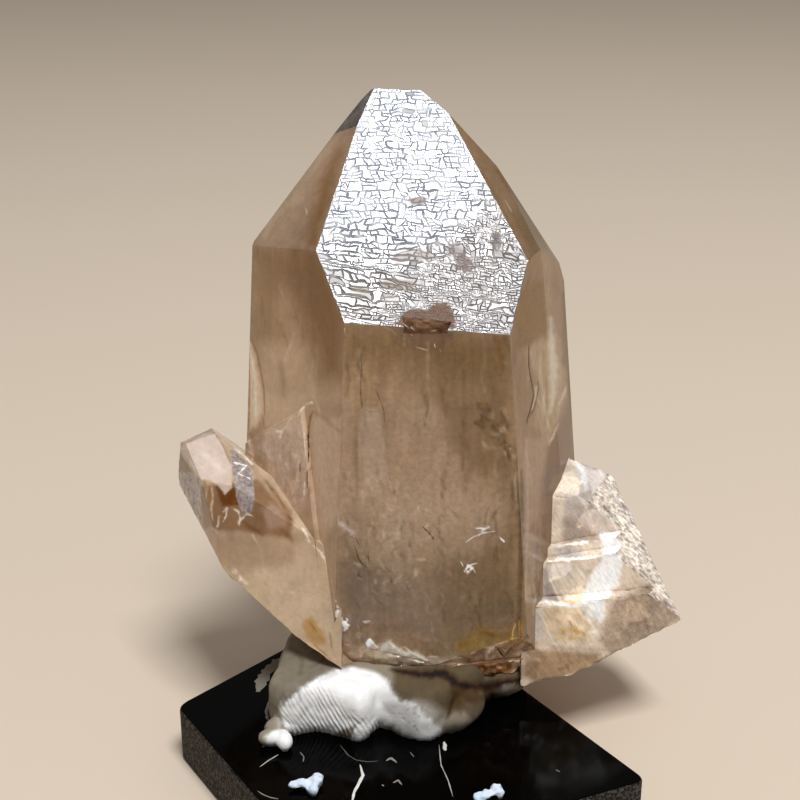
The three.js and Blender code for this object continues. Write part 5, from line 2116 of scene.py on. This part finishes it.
def quartz_looks() -> dict[Zone, ZoneLook]:
    """Returns the look of every zone of the crystals."""
    side, dim = (0.78, 0.71, 0.63), (0.555, 0.5, 0.44)
    small = (0.09, 0.068, 0.049)
    return {
        Zone.MOSAIC: MosaicFace("ffffff", MOSAIC_MARKS),
        Zone.FRONT: ZoneLook(
            "96795c", FRONT_MARKS + FRONT_SCRATCHES, 0.34, frost=0.62, mottle=0.3, waves=0.03,
            through=(0.235, 0.13, 0.065),
        ),
        Zone.RIGHT_PRISM: ZoneLook(
            "957b62", SIDE_SCRATCHES + RIGHT_PRISM_MARKS, 0.34, frost=0.6, waves=0.02,
            light=side, through=(0.27, 0.207, 0.147),
        ),
        Zone.LEFT_PRISM: ZoneLook(
            "987e65", SIDE_SCRATCHES + LEFT_PRISM_MARKS, 0.34, frost=0.78, waves=0.03,
            light=dim, through=(0.24, 0.18, 0.125),
        ),
        Zone.LEFT_RHOMB: ZoneLook(
            "9b826b", CROWN_MARKS, 0.45, frost=0.6, light=(0.76, 0.7, 0.63),
            through=(0.21, 0.15, 0.1),
        ),
        Zone.RIGHT_RHOMB: ZoneLook(
            "927a62", CROWN_MARKS, 0.45, frost=0.6, light=(1.1, 1.05, 1.0),
            through=(0.21, 0.16, 0.12),
        ),
        Zone.DARK_FACET: ZoneLook("75675a", CROWN_MARKS, 0.3, mottle=0.5, light=dim),
        Zone.REAR: ZoneLook(
            "94795e", [], 1.0, frost=0.25, mottle=0.3, light=(2.2, 2.2, 2.2),
            through=(0.1, 0.08, 0.06), waves=0.05,
        ),
        Zone.CHIPPED: ZoneLook(
            "a08871", FRONT_MARKS, 0.3, light=(0.57, 0.55, 0.53), through=small,
            shard=0.4, shard_size=1.7, rim=0.7,
        ),
        Zone.NOTCH: ZoneLook(
            "7a6353", NOTCH_MARKS, 0.2, frost=0.9, mottle=0.4, light=(0.6, 0.6, 0.6),
            through=(0.05, 0.036, 0.025), shard=0.1, shard_size=0.9,
        ),
        Zone.LEFT_CRYSTAL: ZoneLook(
            "ac9479", CRYSTAL_SCRATCHES + LEFT_CRYSTAL_MARKS, 0.34, mottle=0.16, waves=0.03,
            light=(0.74, 0.7, 0.65), through=small, rim=0.06,
        ),
        Zone.STEPPED: ZoneLook(
            "cbb9a4", STEPPED_MARKS, 0.3, light=(0.82, 0.79, 0.74), through=(0.105, 0.08, 0.058),
            streak_turn=32, streak=0.5, shard=0.1, shard_size=2.4, rim=0.3, brush=0.22,
        ),
        Zone.FLANK: ZoneLook(
            "d8c9ba", FLANK_MARKS, 0.35, mottle=0.15, light=(0.93, 0.89, 0.85), brush=1.0,
            through=(0.165, 0.13, 0.098), streak_turn=32, streak=0.6, shard=0.12,
            shard_size=1.5, rim=0.35,
        ),
        Zone.UNDER: ZoneLook(
            "9b8570", [], 0.8, mottle=0.3, light=(0.6, 0.56, 0.51), through=small,
            shard=0.3, shard_size=2.2, rim=0.7,
        ),
    }


def main() -> None:
    """Builds the whole scene."""
    logging.basicConfig(level=logging.INFO, format="%(message)s")
    bpy.context.scene.view_settings.view_transform = "Standard"
    Studio().build()
    looks = quartz_looks()
    QuartzGroup(SmokyQuartz().build(), looks).build()
    white_putty = SoftPutty().build()
    blue_putty = SoftPutty("putty_crumb_blue_white", "dfeafa").build()
    # The white putty of the mound is painted grey-beige as painted shade, with the painted sunlit patches
    # and shadows of its marks on top.
    mound_sun_and_shade_look = ZoneLook("968c7b", PUTTY_SUN_AND_SHADE_MARKS, frost=1.0, light=(0.95, 0.93, 0.9), mottle=0.0)
    crumb_look = ZoneLook("d5d8dc", [], frost=1.0, mottle=0.0, cloud=0.35)
    ridges = [
        (-14.6, -37.5), (-12.5, -36.2), (-9.8, -35.5), (-8.1, -37.5), (-6.0, -39.5),
        (-2.5, -40.2), (-1.9, -41.0), (-6.9, -41.8), (-12.5, -42.0), (-14.5, -41.0),
    ]
    PuttyPiece("putty_mound", "putty_mound_pressed", white_putty, mound_sun_and_shade_look, ridges=ridges).build()
    for side in ("left", "right"):
        PuttyPiece(
            f"putty_crumb_{side}", f"putty_crumb_{side}_torn", blue_putty, crumb_look,
            "putty_crumb", voxel=0.16, spread=-0.1, dents=0.35, dent_size=1.1,
        ).build()
    SlabLitter(white_putty, SLAB_STREAKS).build()
    dress_node("slab", BlackStone().build())


if __name__ == "__main__":
    main()
